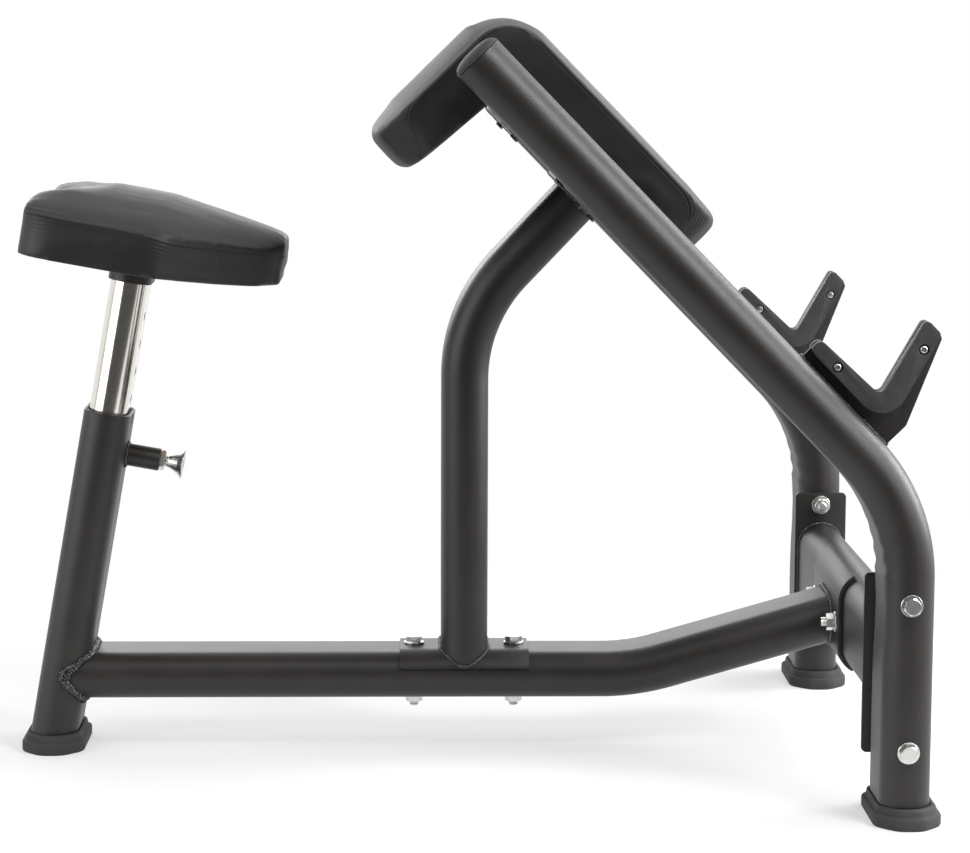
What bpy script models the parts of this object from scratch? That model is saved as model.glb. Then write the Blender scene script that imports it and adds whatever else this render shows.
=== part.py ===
"""Preacher bench: welded and bolted flat-oval frame, arm pad, bar holders and a seat on a pinned post.

Metres, +Z up. The user faces +X, Y runs across the bench, and the floor is at Z = 0.
"""

import math

import bmesh
import bpy
from mathutils import Matrix, Vector

# Shared values
GAP = 0.0003
OVAL_THICK = 0.060
OVAL_WIDE = 0.120
OVAL_WALL = 0.003
ROUND_STEPS = 8
BORE_STEPS = 6
HOLE_STEPS = 12
PAD_HALF = 0.300
PAD_SIDE_CLEARANCE = 0.0113

# Positions in the plane of symmetry
MIDDLE_X = 0.0093
LEG_X = 0.5197
LEG_CORNER_Z = 0.3749
FRONT_FOOT_X = -0.5255

# Side frames
SIDE_Y = PAD_HALF + PAD_SIDE_CLEARANCE + OVAL_WIDE / 2
SLOPE_DEG = 45.7
SIDE_BEND_RADIUS = 0.208
SIDE_TOP_ALONG = 0.721
SIDE_BOTTOM_Z = 0.0063
PLUG_FLANGE = 0.002
PLUG_DOME = 0.009
PLUG_DEPTH = 0.018

# Main beam, middle post and bracket
BEAM_Z = 0.0975
BEAM_BEND_X = 0.220
BEAM_RISE_DEG = 16.0
BEAM_BEND_RADIUS = 0.300
POST_CORNER_Z = 0.5636
POST_TOP_DEG = 46.5
POST_BEND_RADIUS = 0.205
BRACKET_THICK = 0.0035
BRACKET_LENGTH = 0.1666
BRACKET_LOW_Z = 0.110
BRACKET_CORNER = 0.005
BASE_BOLT_X = 0.065

# Cross member, saddle plate and end plates
CROSS_Z = 0.1785
PLATE_THICK = 0.006
CROSS_HALF = SIDE_Y - OVAL_WIDE / 2 - PLATE_THICK - 3 * GAP
SADDLE_THICK = 0.0055
SADDLE_HALF = 0.110
SADDLE_WRAP_DEG = 63.0
SADDLE_BOLT_Y = 0.090
SADDLE_BOLT_Z = CROSS_Z - 0.001
PLATE_WIDE = 0.071
PLATE_TALL = 0.220
PLATE_Z = 0.172
PLATE_CORNER = 0.006
LEG_BOLT_Z = (0.265, 0.091)

# Pad support bars, in the slope's own frame
BAR_WALL = 0.003
UPPER_BAR_ALONG = 0.622
UPPER_BAR_WIDE = 0.060
LOWER_BAR_ALONG = 0.488
LOWER_BAR_WIDE = 0.080
PAD_SEAT = 0.0115
UPPER_BOLT_Y = PAD_HALF - 0.020
LOWER_BOLT_Y = 0.110
LOWER_BOLT_SPREAD = 0.0115

# Arm pad, in the slope's own frame
PAD_THICK = 0.0585
PAD_LEG_THICK = 0.0665
PAD_LOW_ALONG = 0.399
PAD_FRONT_ALONG = 0.736
PAD_LEG_DROP = 0.136
PAD_OUTER_RADIUS = 0.053
PAD_INNER_RADIUS = 0.006
PAD_CROWN_TOP = 0.0165
PAD_CROWN_FRONT = 0.022
PAD_CROWN_LEG = 0.036
PAD_CROWN_LOW = 0.038
PAD_LEG_CORNER = 0.045
PAD_LOW_CORNER = 0.022
PAD_LEG_TILT_DEG = 4.0
BOARD_THICK = 0.015
BOARD_MARGIN = 0.022

# Bar holders, in the slope's own frame
HOOK_THICK = 0.006
HOOK_HEEL_ALONG = 0.068
HOOK_HEEL_TOP = 0.063
HOOK_HEEL_CORNER = 0.012
HOOK_END_ALONG = 0.213
HOOK_ARM_TOP = 0.0605
HOOK_ARM_BASE = 0.0655
HOOK_INNER_ALONG = 0.1160
HOOK_TIP_TOP = 0.165
HOOK_TIP_FRONT = 0.144
HOOK_TIP_BACK = 0.114
HOOK_CORNER = 0.006
CUP_CORNER = 0.008
LINER_THICK = 0.012
LINER_LOW = 0.043
LINER_HEEL_ALONG = 0.082
LINER_HEEL_CORNER = 0.030
LINER_TIP_BACK = 0.119
LINER_LIP = 0.001
LINER_SCREW_SPOTS = (("arm", 0.1758, 0.0521), ("tip", 0.1207, 0.1382))

# Seat post and lock
LEAN_DEG = 10.1
SLEEVE_TOP = 0.447
SLEEVE_SLOT_LOW = 0.432
SLEEVE_SLOT_HIGH = 0.446
BUSHING_WALL = 0.003
BUSHING_SIDE = 0.009
BUSHING_LOW = 0.300
CHROME_THICK = OVAL_THICK - 2 * (OVAL_WALL + BUSHING_WALL)
CHROME_WIDE = OVAL_WIDE - 2 * (OVAL_WALL + BUSHING_SIDE)
CHROME_WALL = 0.003
CHROME_LOW = 0.228
CHROME_TOP = 0.627
SLIDE_CLEARANCE = 0.0003
HOLE_PITCH = 0.036
HOLE_RADIUS = 0.006
HOLES_BELOW = 2
HOLES_ABOVE = 5
PIN_HEIGHT = 0.3925
PIN_RADIUS = 0.0055
PIN_TIP = 0.016
PIN_TRAVEL = 0.012
BOSS_RADIUS = 0.0145
BOSS_BORE = 0.0105
BOSS_END = 0.074
NUT_END = 0.081
KNOB_NECK = 0.084
KNOB_CONE = 0.097
KNOB_END = 0.104
KNOB_RADIUS = 0.0195
COLLAR_HEIGHT = 0.024
COLLAR_GROW = 0.007
SEAT_PLATE_THICK = 0.0045
SEAT_PLATE_HALF = 0.080
SEAT_PLATE_WIDE = 0.075
SEAT_PLATE_CORNER = 0.015

# Seat, in the post's own frame
SEAT_BACK = -0.130
SEAT_NOSE = 0.190
SEAT_WIDE_AT = 0.045
SEAT_HALF = 0.200
SEAT_NOSE_HALF = 0.072
SEAT_LOW = 0.640
SEAT_SEAM = 0.052
SEAT_CROWN = 0.044
SEAT_NOSE_RISE = 0.007
SEAT_LOBE = 0.012
SEAT_CORNER = 0.040
SEAT_BOARD_THICK = 0.012
SEAT_BOARD_FRONT = 0.115
SEAT_BOARD_MARGIN = 0.020
SEAT_BOARD_RECESS = 0.001

# Hardware
BOLT_RADIUS = 0.006
BOLT_ACROSS = 0.019
BOLT_HEAD = 0.0075
NUT_HEIGHT = 0.010
WASHER_RADIUS = 0.013
WASHER_THICK = 0.0024
PAD_BOLT_RADIUS = 0.003
PAD_BOLT_ACROSS = 0.010
PAD_BOLT_HEAD = 0.0045
LINER_SCREW_RADIUS = 0.0025
LINER_SCREW_HEAD = 0.0050
LINER_SCREW_DEPTH = 0.003
LINER_SINK_CLEARANCE = 0.0012
LINER_BORE = 2 * (HOOK_THICK / 2 + LINER_THICK)

# Foot caps
FOOT_LENGTH = 0.081
FOOT_WIDTH = 0.150
FOOT_SKIRT = 0.015
FOOT_HEIGHT = 0.024
FOOT_STEP = 0.005
FOOT_CHAMFER = 0.025
FOOT_FLOOR = 0.006

SLOPE = math.radians(SLOPE_DEG)
LEAN = math.radians(LEAN_DEG)
UPPER_RADIUS = OVAL_THICK / 2


def clear_scene():
    """Remove every object of the start-up scene."""
    for item in list(bpy.data.objects):
        bpy.data.objects.remove(item, do_unlink=True)


def make_collection(name):
    """Make a collection under the scene's own."""
    group = bpy.data.collections.new(name)
    bpy.context.scene.collection.children.link(group)
    return group


def make_material(name, colour, roughness, metallic):
    """Make a Principled BSDF material."""
    material = bpy.data.materials.new(name)
    material.use_nodes = True
    shader = material.node_tree.nodes["Principled BSDF"]
    shader.inputs["Base Color"].default_value = (*colour, 1.0)
    shader.inputs["Roughness"].default_value = roughness
    shader.inputs["Metallic"].default_value = metallic
    material.diffuse_color = (*colour, 1.0)
    return material


clear_scene()
PARTS = make_collection("preacher_bench")
CUTTERS = make_collection("cutters")

BLACK_STEEL = make_material("black_powder_coat", (0.035, 0.036, 0.037), 0.42, 0.0)
CHROME = make_material("chrome", (0.80, 0.79, 0.77), 0.08, 1.0)
ZINC = make_material("zinc_hardware", (0.62, 0.63, 0.62), 0.30, 1.0)
RUBBER = make_material("foot_rubber", (0.030, 0.030, 0.031), 0.75, 0.0)
LINER = make_material("liner_plastic", (0.045, 0.046, 0.047), 0.55, 0.0)
PLUG = make_material("plug_plastic", (0.025, 0.025, 0.026), 0.50, 0.0)
VINYL = make_material("black_vinyl", (0.022, 0.022, 0.023), 0.45, 0.0)
PLYWOOD = make_material("plywood", (0.52, 0.38, 0.24), 0.70, 0.0)
BLACK_OXIDE = make_material("black_oxide_bolt", (0.050, 0.050, 0.052), 0.40, 0.6)
SPRING_STEEL = make_material("spring_steel", (0.50, 0.50, 0.50), 0.30, 1.0)


def slope_frame(y=0.0):
    """Frame of the side frames' slope: local X runs down the slope, local Z stands on it."""
    place = Matrix.Translation((LEG_X, y, LEG_CORNER_Z))
    return place @ Matrix.Rotation(SLOPE, 4, "Y")


def post_frame(height=0.0):
    """Frame of the seat post: local Z runs up the post, local X points to the arm pad."""
    place = Matrix.Translation((FRONT_FOOT_X, 0.0, 0.0)) @ Matrix.Rotation(LEAN, 4, "Y")
    return place @ Matrix.Translation((0.0, 0.0, height))


def add(name, mesh, material=None, matrix=None, group=None):
    """Put a mesh into the scene as a named object."""
    item = bpy.data.objects.new(name, mesh)
    (group or PARTS).objects.link(item)
    item.matrix_world = matrix or Matrix.Identity(4)
    if material is not None:
        mesh.materials.clear()
        mesh.materials.append(material)
    return item


def add_cutter(name, mesh, matrix=None):
    """Put a mesh into the scene as a hidden cutting shape."""
    item = add(name, mesh, None, matrix, CUTTERS)
    item.hide_render = True
    item.display_type = "WIRE"
    return item


def modify(item, operation, other):
    """Add an exact Boolean modifier."""
    step = item.modifiers.new(operation.lower() + "_" + other.name, "BOOLEAN")
    step.operation = operation
    step.solver = "EXACT"
    step.object = other
    return item


def bevel(item, width, segments=2, angle=40.0):
    """Add a Bevel modifier that rounds the sharper edges."""
    step = item.modifiers.new("bevel", "BEVEL")
    step.width = width
    step.segments = segments
    step.limit_method = "ANGLE"
    step.angle_limit = math.radians(angle)
    return item


def evaluated(item):
    """Return an object's finished mesh and remove the object."""
    bpy.context.view_layer.update()
    graph = bpy.context.evaluated_depsgraph_get()
    mesh = bpy.data.meshes.new_from_object(item.evaluated_get(graph))
    old = item.data
    bpy.data.objects.remove(item, do_unlink=True)
    if isinstance(old, bpy.types.Mesh):
        bpy.data.meshes.remove(old)
    else:
        bpy.data.curves.remove(old)
    return mesh


def weld(mesh, turn=None):
    """Join loose caps, turn the mesh and point its faces outward."""
    shape = bmesh.new()
    shape.from_mesh(mesh)
    bmesh.ops.remove_doubles(shape, verts=shape.verts, dist=0.00001)
    if turn is not None:
        bmesh.ops.transform(shape, matrix=turn, verts=shape.verts)
    bmesh.ops.recalc_face_normals(shape, faces=shape.faces)
    shape.to_mesh(mesh)
    shape.free()
    return mesh


def smooth(mesh, angle=35.0):
    """Shade a mesh smooth, with its sharper edges kept."""
    for face in mesh.polygons:
        face.use_smooth = True
    mesh.set_sharp_from_angle(angle=math.radians(angle))
    return mesh


def curve_object(name, outlines, flat):
    """Make a curve object of closed outlines in its own XY plane, or of one open path."""
    data = bpy.data.curves.new(name, "CURVE")
    data.dimensions = "2D" if flat else "3D"
    for points in outlines:
        spline = data.splines.new("POLY")
        spline.points.add(len(points) - 1)
        for place, point in zip(spline.points, points):
            place.co = (point[0], point[1], point[2] if len(point) > 2 else 0.0, 1.0)
        spline.use_cyclic_u = flat
    item = bpy.data.objects.new(name, data)
    bpy.context.scene.collection.objects.link(item)
    return item


def prism(outlines, half, axis="Z"):
    """Extrude flat outlines by half a thickness each way along an axis.

    The outline's two numbers are (x, y) for Z, (x, z) for Y and (y, z) for X.
    """
    item = curve_object("outline", outlines, True)
    item.data.fill_mode = "BOTH"
    item.data.extrude = half
    mesh = evaluated(item)
    turns = {
        "Z": Matrix.Identity(4),
        "Y": Matrix.Rotation(math.pi / 2, 4, "X"),
        "X": Matrix(((0, 0, 1, 0), (1, 0, 0, 0), (0, 1, 0, 0), (0, 0, 0, 1))),
    }
    return smooth(weld(mesh, turns[axis]))


def oval(short, long, centre=(0.0, 0.0), upright=False, steps=ROUND_STEPS):
    """Outline of a flat oval, long along its second axis, or along its first when upright."""
    radius = short / 2
    flat = (long - short) / 2
    points = []
    for side in (1, -1):
        for step in range(steps + 1):
            angle = math.pi * step / steps
            points.append((side * radius * math.cos(angle), side * (flat + radius * math.sin(angle))))
    if upright:
        points = [(second, -first) for first, second in points]
    return [(centre[0] + first, centre[1] + second) for first, second in points]


def facet_angles(start, end):
    """Angles from start to end that fall on the corners of a flat oval's round sides."""
    pitch = math.pi / ROUND_STEPS
    count = int((end - start) / pitch + 0.2)
    return [start + pitch * step for step in range(count + 1)] + [end]


def rounded(points, radii, steps=5):
    """Round the corners of a polygon, each by its own radius."""
    result = []
    count = len(points)
    for index, (point, radius) in enumerate(zip(points, radii)):
        corner = Vector(point)
        before = (Vector(points[index - 1]) - corner).normalized()
        after = (Vector(points[(index + 1) % count]) - corner).normalized()
        if radius <= 0.0:
            result.append(tuple(corner))
            continue
        half = before.angle(after) / 2
        reach = radius / math.tan(half)
        centre = corner + (before + after).normalized() * (radius / math.sin(half))
        start = corner + before * reach - centre
        turn = start.angle_signed(corner + after * reach - centre)
        for step in range(steps + 1):
            angle = -turn * step / steps
            spin = Matrix.Rotation(angle, 2)
            result.append(tuple(centre + spin @ start))
    return result


def box(low, high):
    """Make a plain block between two corners."""
    shape = bmesh.new()
    bmesh.ops.create_cube(shape, size=1.0)
    size = Vector(high) - Vector(low)
    middle = (Vector(high) + Vector(low)) / 2
    place = Matrix.Translation(middle) @ Matrix.Diagonal((*size, 1.0))
    bmesh.ops.transform(shape, matrix=place, verts=shape.verts)
    mesh = bpy.data.meshes.new("box")
    shape.to_mesh(mesh)
    shape.free()
    return mesh


def rod(radius, low, high, steps=16, axis="Z"):
    """Cylinder between two values on an axis through the origin."""
    shape = bmesh.new()
    bmesh.ops.create_cone(
        shape, cap_ends=True, segments=steps, radius1=radius, radius2=radius, depth=high - low
    )
    place = Matrix.Translation((0.0, 0.0, (low + high) / 2))
    turns = {
        "Z": Matrix.Identity(4),
        "Y": Matrix.Rotation(-math.pi / 2, 4, "X"),
        "X": Matrix.Rotation(math.pi / 2, 4, "Y"),
    }
    bmesh.ops.transform(shape, matrix=turns[axis] @ place, verts=shape.verts)
    mesh = bpy.data.meshes.new("rod")
    shape.to_mesh(mesh)
    shape.free()
    return smooth(mesh)


def turned(profile, steps=24, axis="Z"):
    """Turn a closed profile of (radius, height) pairs about an axis."""
    mesh = bpy.data.meshes.new("turned")
    corners = [(radius, 0.0, height) for radius, height in profile]
    count = len(corners)
    ring = profile[0][0] > 0.00001
    edges = [(index, index + 1) for index in range(count - 1)]
    if ring:
        edges.append((count - 1, 0))
    mesh.from_pydata(corners, edges, [])
    item = bpy.data.objects.new("turned", mesh)
    bpy.context.scene.collection.objects.link(item)
    step = item.modifiers.new("screw", "SCREW")
    step.steps = steps
    step.render_steps = steps
    step.use_merge_vertices = True
    step.merge_threshold = 0.00001
    turns = {"Z": Matrix.Identity(4), "X": Matrix.Rotation(math.pi / 2, 4, "Y")}
    return smooth(weld(evaluated(item), turns[axis]))


def bent_path(points, radius, steps=8):
    """Path in the XZ plane with its inner corners rounded."""
    path = [Vector(points[0])]
    for before, corner, after in zip(points, points[1:], points[2:]):
        corner = Vector(corner)
        inward = (Vector(before) - corner).normalized()
        outward = (Vector(after) - corner).normalized()
        half = inward.angle(outward) / 2
        reach = radius / math.tan(half)
        centre = corner + (inward + outward).normalized() * (radius / math.sin(half))
        first = corner + inward * reach - centre
        last = corner + outward * reach - centre
        total = first.angle(last)
        for step in range(steps + 1):
            share = step / steps
            mixed = first * math.sin((1 - share) * total) + last * math.sin(share * total)
            path.append(centre + mixed / math.sin(total))
    path.append(Vector(points[-1]))
    return [(point.x, 0.0, point.y) for point in path]


def swept(path, short, long, rising=True, steps=ROUND_STEPS):
    """Sweep a solid flat oval along a path, its long axis along Y.

    A path that starts upward carries the outline as drawn, and one that starts
    along X carries it turned by a quarter.
    """
    outline = curve_object("section", [oval(short, long, upright=not rising, steps=steps)], True)
    item = curve_object("path", [path], False)
    item.data.bevel_mode = "OBJECT"
    item.data.bevel_object = outline
    item.data.use_fill_caps = True
    mesh = evaluated(item)
    evaluated(outline)
    return smooth(weld(mesh))


def united(meshes):
    """Join overlapping meshes into one closed mesh."""
    base = add("union_base", meshes[0], group=CUTTERS)
    others = []
    for index, mesh in enumerate(meshes[1:]):
        other = add("union_" + str(index), mesh, group=CUTTERS)
        modify(base, "UNION", other)
        others.append(other)
    mesh = evaluated(base)
    for other in others:
        evaluated(other)
    return smooth(mesh)


def hexagon(across, low, high, axis="Z"):
    """Six-sided prism of a bolt head or nut."""
    return flat_faces(rod(across / math.sqrt(3), low, high, 6, axis))


def flat_faces(mesh):
    """Shade a mesh flat."""
    for face in mesh.polygons:
        face.use_smooth = False
    return mesh


def bolt(length, across=BOLT_ACROSS, radius=BOLT_RADIUS, head=BOLT_HEAD, washer=WASHER_RADIUS):
    """Bolt with its washer: the washer's underside is at Z = 0 and the shank runs down."""
    thick = WASHER_THICK if washer > 0.0 else 0.0
    parts = [rod(radius, -length, head / 2, 10)]
    parts.append(hexagon(across, thick - (0.0002 if thick else 0.0), thick + head))
    if thick:
        parts.append(rod(washer, 0.0, thick, 14))
    return united(parts)


def nut(across=BOLT_ACROSS, height=NUT_HEIGHT, washer=WASHER_RADIUS):
    """Nut with its washer: the washer's outer face is at Z = 0 and the nut stands up from it."""
    block = hexagon(across, WASHER_THICK - 0.0002, WASHER_THICK + height)
    body = united([block, rod(washer, 0.0, WASHER_THICK, 14)])
    item = add("nut_blank", body, group=CUTTERS)
    hole = add("nut_hole", rod(BOLT_RADIUS + GAP, -NUT_HEIGHT, 2 * NUT_HEIGHT, HOLE_STEPS), group=CUTTERS)
    modify(item, "DIFFERENCE", hole)
    mesh = evaluated(item)
    evaluated(hole)
    return mesh


def hollow(name, points, radius, rising=True, steps=8):
    """Bent flat-oval tube with open ends, along straight runs whose corners are rounded."""
    item = add(name, swept(bent_path(points, radius, steps), OVAL_THICK, OVAL_WIDE, rising), BLACK_STEEL)
    inner = [Vector(point) for point in points]
    inner[0] += (inner[0] - inner[1]).normalized() * OVAL_WALL
    inner[-1] += (inner[-1] - inner[-2]).normalized() * OVAL_WALL
    path = bent_path(inner, radius, steps // 2)
    wall = 2 * OVAL_WALL
    bore = swept(path, OVAL_THICK - wall, OVAL_WIDE - wall, rising, BORE_STEPS)
    modify(item, "DIFFERENCE", add_cutter(name + "_bore", bore))
    return item


def hole(item, name, radius, low, high, axis, place):
    """Drill a round hole through an object, given in world coordinates."""
    cutter = add_cutter(name, rod(radius, low, high, HOLE_STEPS, axis), place)
    return modify(item, "DIFFERENCE", cutter)


def make_side_frames():
    """Both bent side tubes with their plugs, bolts and end plates."""
    top = (-SIDE_TOP_ALONG * math.cos(SLOPE), SIDE_TOP_ALONG * math.sin(SLOPE))
    points = [(0.0, SIDE_BOTTOM_Z), (0.0, LEG_CORNER_Z), (top[0], LEG_CORNER_Z + top[1])]
    leg_bolt = through_bolt()
    for side, sign in (("near", -1), ("far", 1)):
        place = Matrix.Translation((LEG_X, sign * SIDE_Y, 0.0))
        tube = hollow("side_frame_" + side, points, SIDE_BEND_RADIUS)
        tube.matrix_world = place
        bpy.data.objects["side_frame_" + side + "_bore"].matrix_world = place
        plate = add("end_plate_" + side, end_plate_mesh(), BLACK_STEEL)
        plate.location = (LEG_X - 0.001, sign * (CROSS_HALF + GAP + PLATE_THICK / 2), PLATE_Z)
        bevel(plate, 0.001, 1)
        for level, height in zip(("upper", "lower"), LEG_BOLT_Z):
            spot = Matrix.Translation((LEG_X - 0.001, 0.0, height))
            reach = (sign * 0.29, sign * 0.45)
            name = "leg_hole_" + side + "_" + level
            shank = rod(BOLT_RADIUS + GAP, min(reach), max(reach), HOLE_STEPS, "Y")
            drill = add_cutter(name, shank, spot)
            modify(tube, "DIFFERENCE", drill)
            modify(plate, "DIFFERENCE", drill)
            turn = Matrix.Rotation(-sign * math.pi / 2, 4, "X")
            seat = Matrix.Translation((0.0, sign * (SIDE_Y + OVAL_WIDE / 2 + GAP), 0.0))
            add("leg_bolt_" + side + "_" + level, leg_bolt, ZINC, spot @ seat @ turn)
        add_plug(side, sign)


def through_bolt():
    """Long bolt from a leg's outer side to the end plate, with its nut run on."""
    span = SIDE_Y + OVAL_WIDE / 2 + GAP - CROSS_HALF
    low = -span + 0.0002
    nut_body = hexagon(BOLT_ACROSS, low - WASHER_THICK - NUT_HEIGHT, low - WASHER_THICK + 0.0002)
    return united([bolt(span + 0.018), nut_body, rod(WASHER_RADIUS, low - WASHER_THICK, low, 14)])


def end_plate_mesh():
    """Flat plate that carries the cross member and bolts to a leg."""
    half = PLATE_WIDE / 2
    tall = PLATE_TALL / 2
    corners = [(half, tall), (-half, tall), (-half, -tall), (half, -tall)]
    return prism([rounded(corners, [PLATE_CORNER] * 4, 3)], PLATE_THICK / 2, "Y")


def add_plug(side, sign):
    """Domed plug in the upper end of a side tube."""
    flange = prism([oval(OVAL_THICK + 0.001, OVAL_WIDE + 0.001)], PLUG_FLANGE / 2)
    weld(flange, Matrix.Translation((0.0, 0.0, PLUG_FLANGE / 2)))
    inner = OVAL_THICK - 2 * (OVAL_WALL + GAP)
    outline = oval(inner, OVAL_WIDE - OVAL_THICK + inner, steps=BORE_STEPS)
    stem = prism([outline], PLUG_DEPTH / 2)
    weld(stem, Matrix.Translation((0.0, 0.0, 0.0005 - PLUG_DEPTH / 2)))
    dome = dome_mesh(OVAL_THICK - 0.004, OVAL_WIDE - 0.004, PLUG_FLANGE - 0.0005, PLUG_DOME)
    place = slope_frame(sign * SIDE_Y) @ Matrix.Translation((-SIDE_TOP_ALONG - GAP, 0.0, 0.0))
    place = place @ Matrix.Rotation(-math.pi / 2, 4, "Y")
    add("tube_plug_" + side, united([flange, stem, dome]), PLUG, place)


def dome_mesh(short, long, low, rise):
    """Low dome over a flat oval."""
    mesh = prism([oval(short, long)], rise / 2)
    weld(mesh, Matrix.Translation((0.0, 0.0, low + rise / 2)))
    shape = bmesh.new()
    shape.from_mesh(mesh)
    rim = [edge for edge in shape.edges if all(vert.co.z > low + rise / 2 for vert in edge.verts)]
    rim = [edge for edge in rim if len(edge.link_faces) == 2 and edge.calc_face_angle() > 1.0]
    bmesh.ops.bevel(shape, geom=rim, offset=rise * 0.93, segments=2, profile=0.6, affect="EDGES")
    shape.to_mesh(mesh)
    shape.free()
    return smooth(mesh, 60.0)


def make_cross_member():
    """Cross member, saddle plate and their bolts."""
    centre = (LEG_X - 0.001, CROSS_Z)
    inner = (OVAL_THICK - 2 * OVAL_WALL, OVAL_WIDE - 2 * OVAL_WALL)
    rings = [oval(OVAL_THICK, OVAL_WIDE, centre), oval(*inner, centre)]
    cross = add("cross_member", prism(rings, CROSS_HALF, "Y"), BLACK_STEEL)
    saddle = add("saddle_plate", prism([saddle_outline(centre)], SADDLE_HALF, "Y"), BLACK_STEEL)
    bevel(saddle, 0.0012, 1, 60.0)
    face = centre[0] - UPPER_RADIUS - GAP - SADDLE_THICK
    bolt_mesh = bolt(2 * UPPER_RADIUS + 2 * GAP + SADDLE_THICK + WASHER_THICK + NUT_HEIGHT + 0.007)
    nut_mesh = nut()
    for side, sign in (("near", -1), ("far", 1)):
        spot = Matrix.Translation((0.0, sign * SADDLE_BOLT_Y, SADDLE_BOLT_Z))
        low, high = face - 0.02, centre[0] + 0.05
        shank = rod(BOLT_RADIUS + GAP, low, high, HOLE_STEPS, "X")
        drill = add_cutter("saddle_hole_" + side, shank, spot)
        modify(cross, "DIFFERENCE", drill)
        modify(saddle, "DIFFERENCE", drill)
        head = Matrix.Translation((centre[0] + UPPER_RADIUS + GAP, 0.0, 0.0))
        head = head @ Matrix.Rotation(math.pi / 2, 4, "Y")
        add("saddle_bolt_" + side, bolt_mesh, ZINC, spot @ head)
        tail = Matrix.Translation((face - GAP, 0.0, 0.0)) @ Matrix.Rotation(-math.pi / 2, 4, "Y")
        add("saddle_nut_" + side, nut_mesh, ZINC, spot @ tail)


def saddle_outline(centre, inner=GAP, outer=GAP + SADDLE_THICK):
    """Band that hugs the near side of the cross member."""
    wrap = math.radians(SADDLE_WRAP_DEG)
    rise = (OVAL_WIDE - OVAL_THICK) / 2

    def arc(offset, upper):
        """Points of one round side, from the flat side to the band's end."""
        radius = UPPER_RADIUS + offset
        sign = 1 if upper else -1
        points = []
        for angle in facet_angles(0.0, wrap):
            x = centre[0] - radius * math.cos(angle)
            points.append((x, centre[1] + sign * (rise + radius * math.sin(angle))))
        return points

    outside = arc(outer, True)[::-1] + arc(outer, False)
    inside = arc(inner, False)[::-1] + arc(inner, True)
    return outside + inside


def make_beam():
    """Main beam between the front sleeve and the saddle plate."""
    rise = math.radians(BEAM_RISE_DEG)
    corner = BEAM_BEND_X + MIDDLE_X
    reach = 0.30
    start = FRONT_FOOT_X + BEAM_Z * math.tan(LEAN)
    end = (corner + reach * math.cos(rise), BEAM_Z + reach * math.sin(rise))
    points = [(start, BEAM_Z), (corner, BEAM_Z), end]
    beam = hollow("main_beam", points, BEAM_BEND_RADIUS, rising=False, steps=4)
    grow = 2 * GAP
    outline = oval(OVAL_THICK + grow, OVAL_WIDE + grow)
    modify(beam, "DIFFERENCE", add_cutter("beam_front_cope", prism([outline], 0.4), post_frame()))
    centre = (LEG_X - 0.001, CROSS_Z)
    wide = 2 * (2 * GAP + SADDLE_THICK)
    saddle = oval(OVAL_THICK + wide, OVAL_WIDE + wide, centre)
    modify(beam, "DIFFERENCE", add_cutter("beam_rear_cope", prism([saddle], 0.15, "Y")))
    for sign in (-1, 1):
        spot = Matrix.Translation((MIDDLE_X + sign * BASE_BOLT_X, 0.0, 0.0))
        name = "beam_hole_" + ("rear" if sign > 0 else "front")
        hole(beam, name, BOLT_RADIUS + GAP, 0.04, 0.16, "Z", spot)


def make_middle_post():
    """Middle post, its folded base bracket and the base bolts."""
    tilt = math.radians(POST_TOP_DEG)
    reach = 0.230
    top = (MIDDLE_X + reach * math.cos(tilt), POST_CORNER_Z + reach * math.sin(tilt))
    points = [(MIDDLE_X, BEAM_Z), (MIDDLE_X, POST_CORNER_Z), top]
    post = hollow("middle_post", points, POST_BEND_RADIUS)
    wide = 2 * (2 * GAP + BRACKET_THICK)
    beam_oval = oval(OVAL_THICK + wide, OVAL_WIDE + wide, (0.0, BEAM_Z), upright=True)
    middle = Matrix.Translation((MIDDLE_X, 0.0, 0.0))
    foot_cope = add_cutter("post_foot_cope", prism([beam_oval], OVAL_WIDE, "X"), middle)
    modify(post, "DIFFERENCE", foot_cope)
    low_face = -UPPER_RADIUS - GAP
    plane = box((-SIDE_TOP_ALONG, -OVAL_WIDE, low_face), (-0.3, OVAL_WIDE, OVAL_WIDE))
    modify(post, "DIFFERENCE", add_cutter("post_top_trim", plane, slope_frame()))
    band = prism([bracket_outline()], BRACKET_LENGTH / 2, "X")
    bracket = add("base_bracket", band, BLACK_STEEL, middle)
    half = BRACKET_LENGTH / 2
    low, high = BRACKET_LOW_Z, BEAM_Z + UPPER_RADIUS + 0.02
    corners = [(half, high), (-half, high), (-half, low), (half, low)]
    side = prism([rounded(corners, [0.0, 0.0, BRACKET_CORNER, BRACKET_CORNER], 4)], 0.1, "Y")
    modify(bracket, "INTERSECT", add_cutter("bracket_side", side, middle))
    top_face = BEAM_Z + UPPER_RADIUS + GAP + BRACKET_THICK
    bolt_mesh = bolt(top_face + GAP - 0.0495)
    nut_mesh = nut()
    for end, sign in (("front", -1), ("rear", 1)):
        spot = Matrix.Translation((MIDDLE_X + sign * BASE_BOLT_X, 0.0, 0.0))
        hole(bracket, "bracket_hole_" + end, BOLT_RADIUS + GAP, 0.1, 0.16, "Z", spot)
        add("base_bolt_" + end, bolt_mesh, ZINC, spot @ Matrix.Translation((0.0, 0.0, top_face + GAP)))
        under = Matrix.Translation((0.0, 0.0, BEAM_Z - UPPER_RADIUS - GAP))
        under = under @ Matrix.Rotation(math.pi, 4, "X")
        add("base_nut_" + end, nut_mesh, ZINC, spot @ under)


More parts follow.
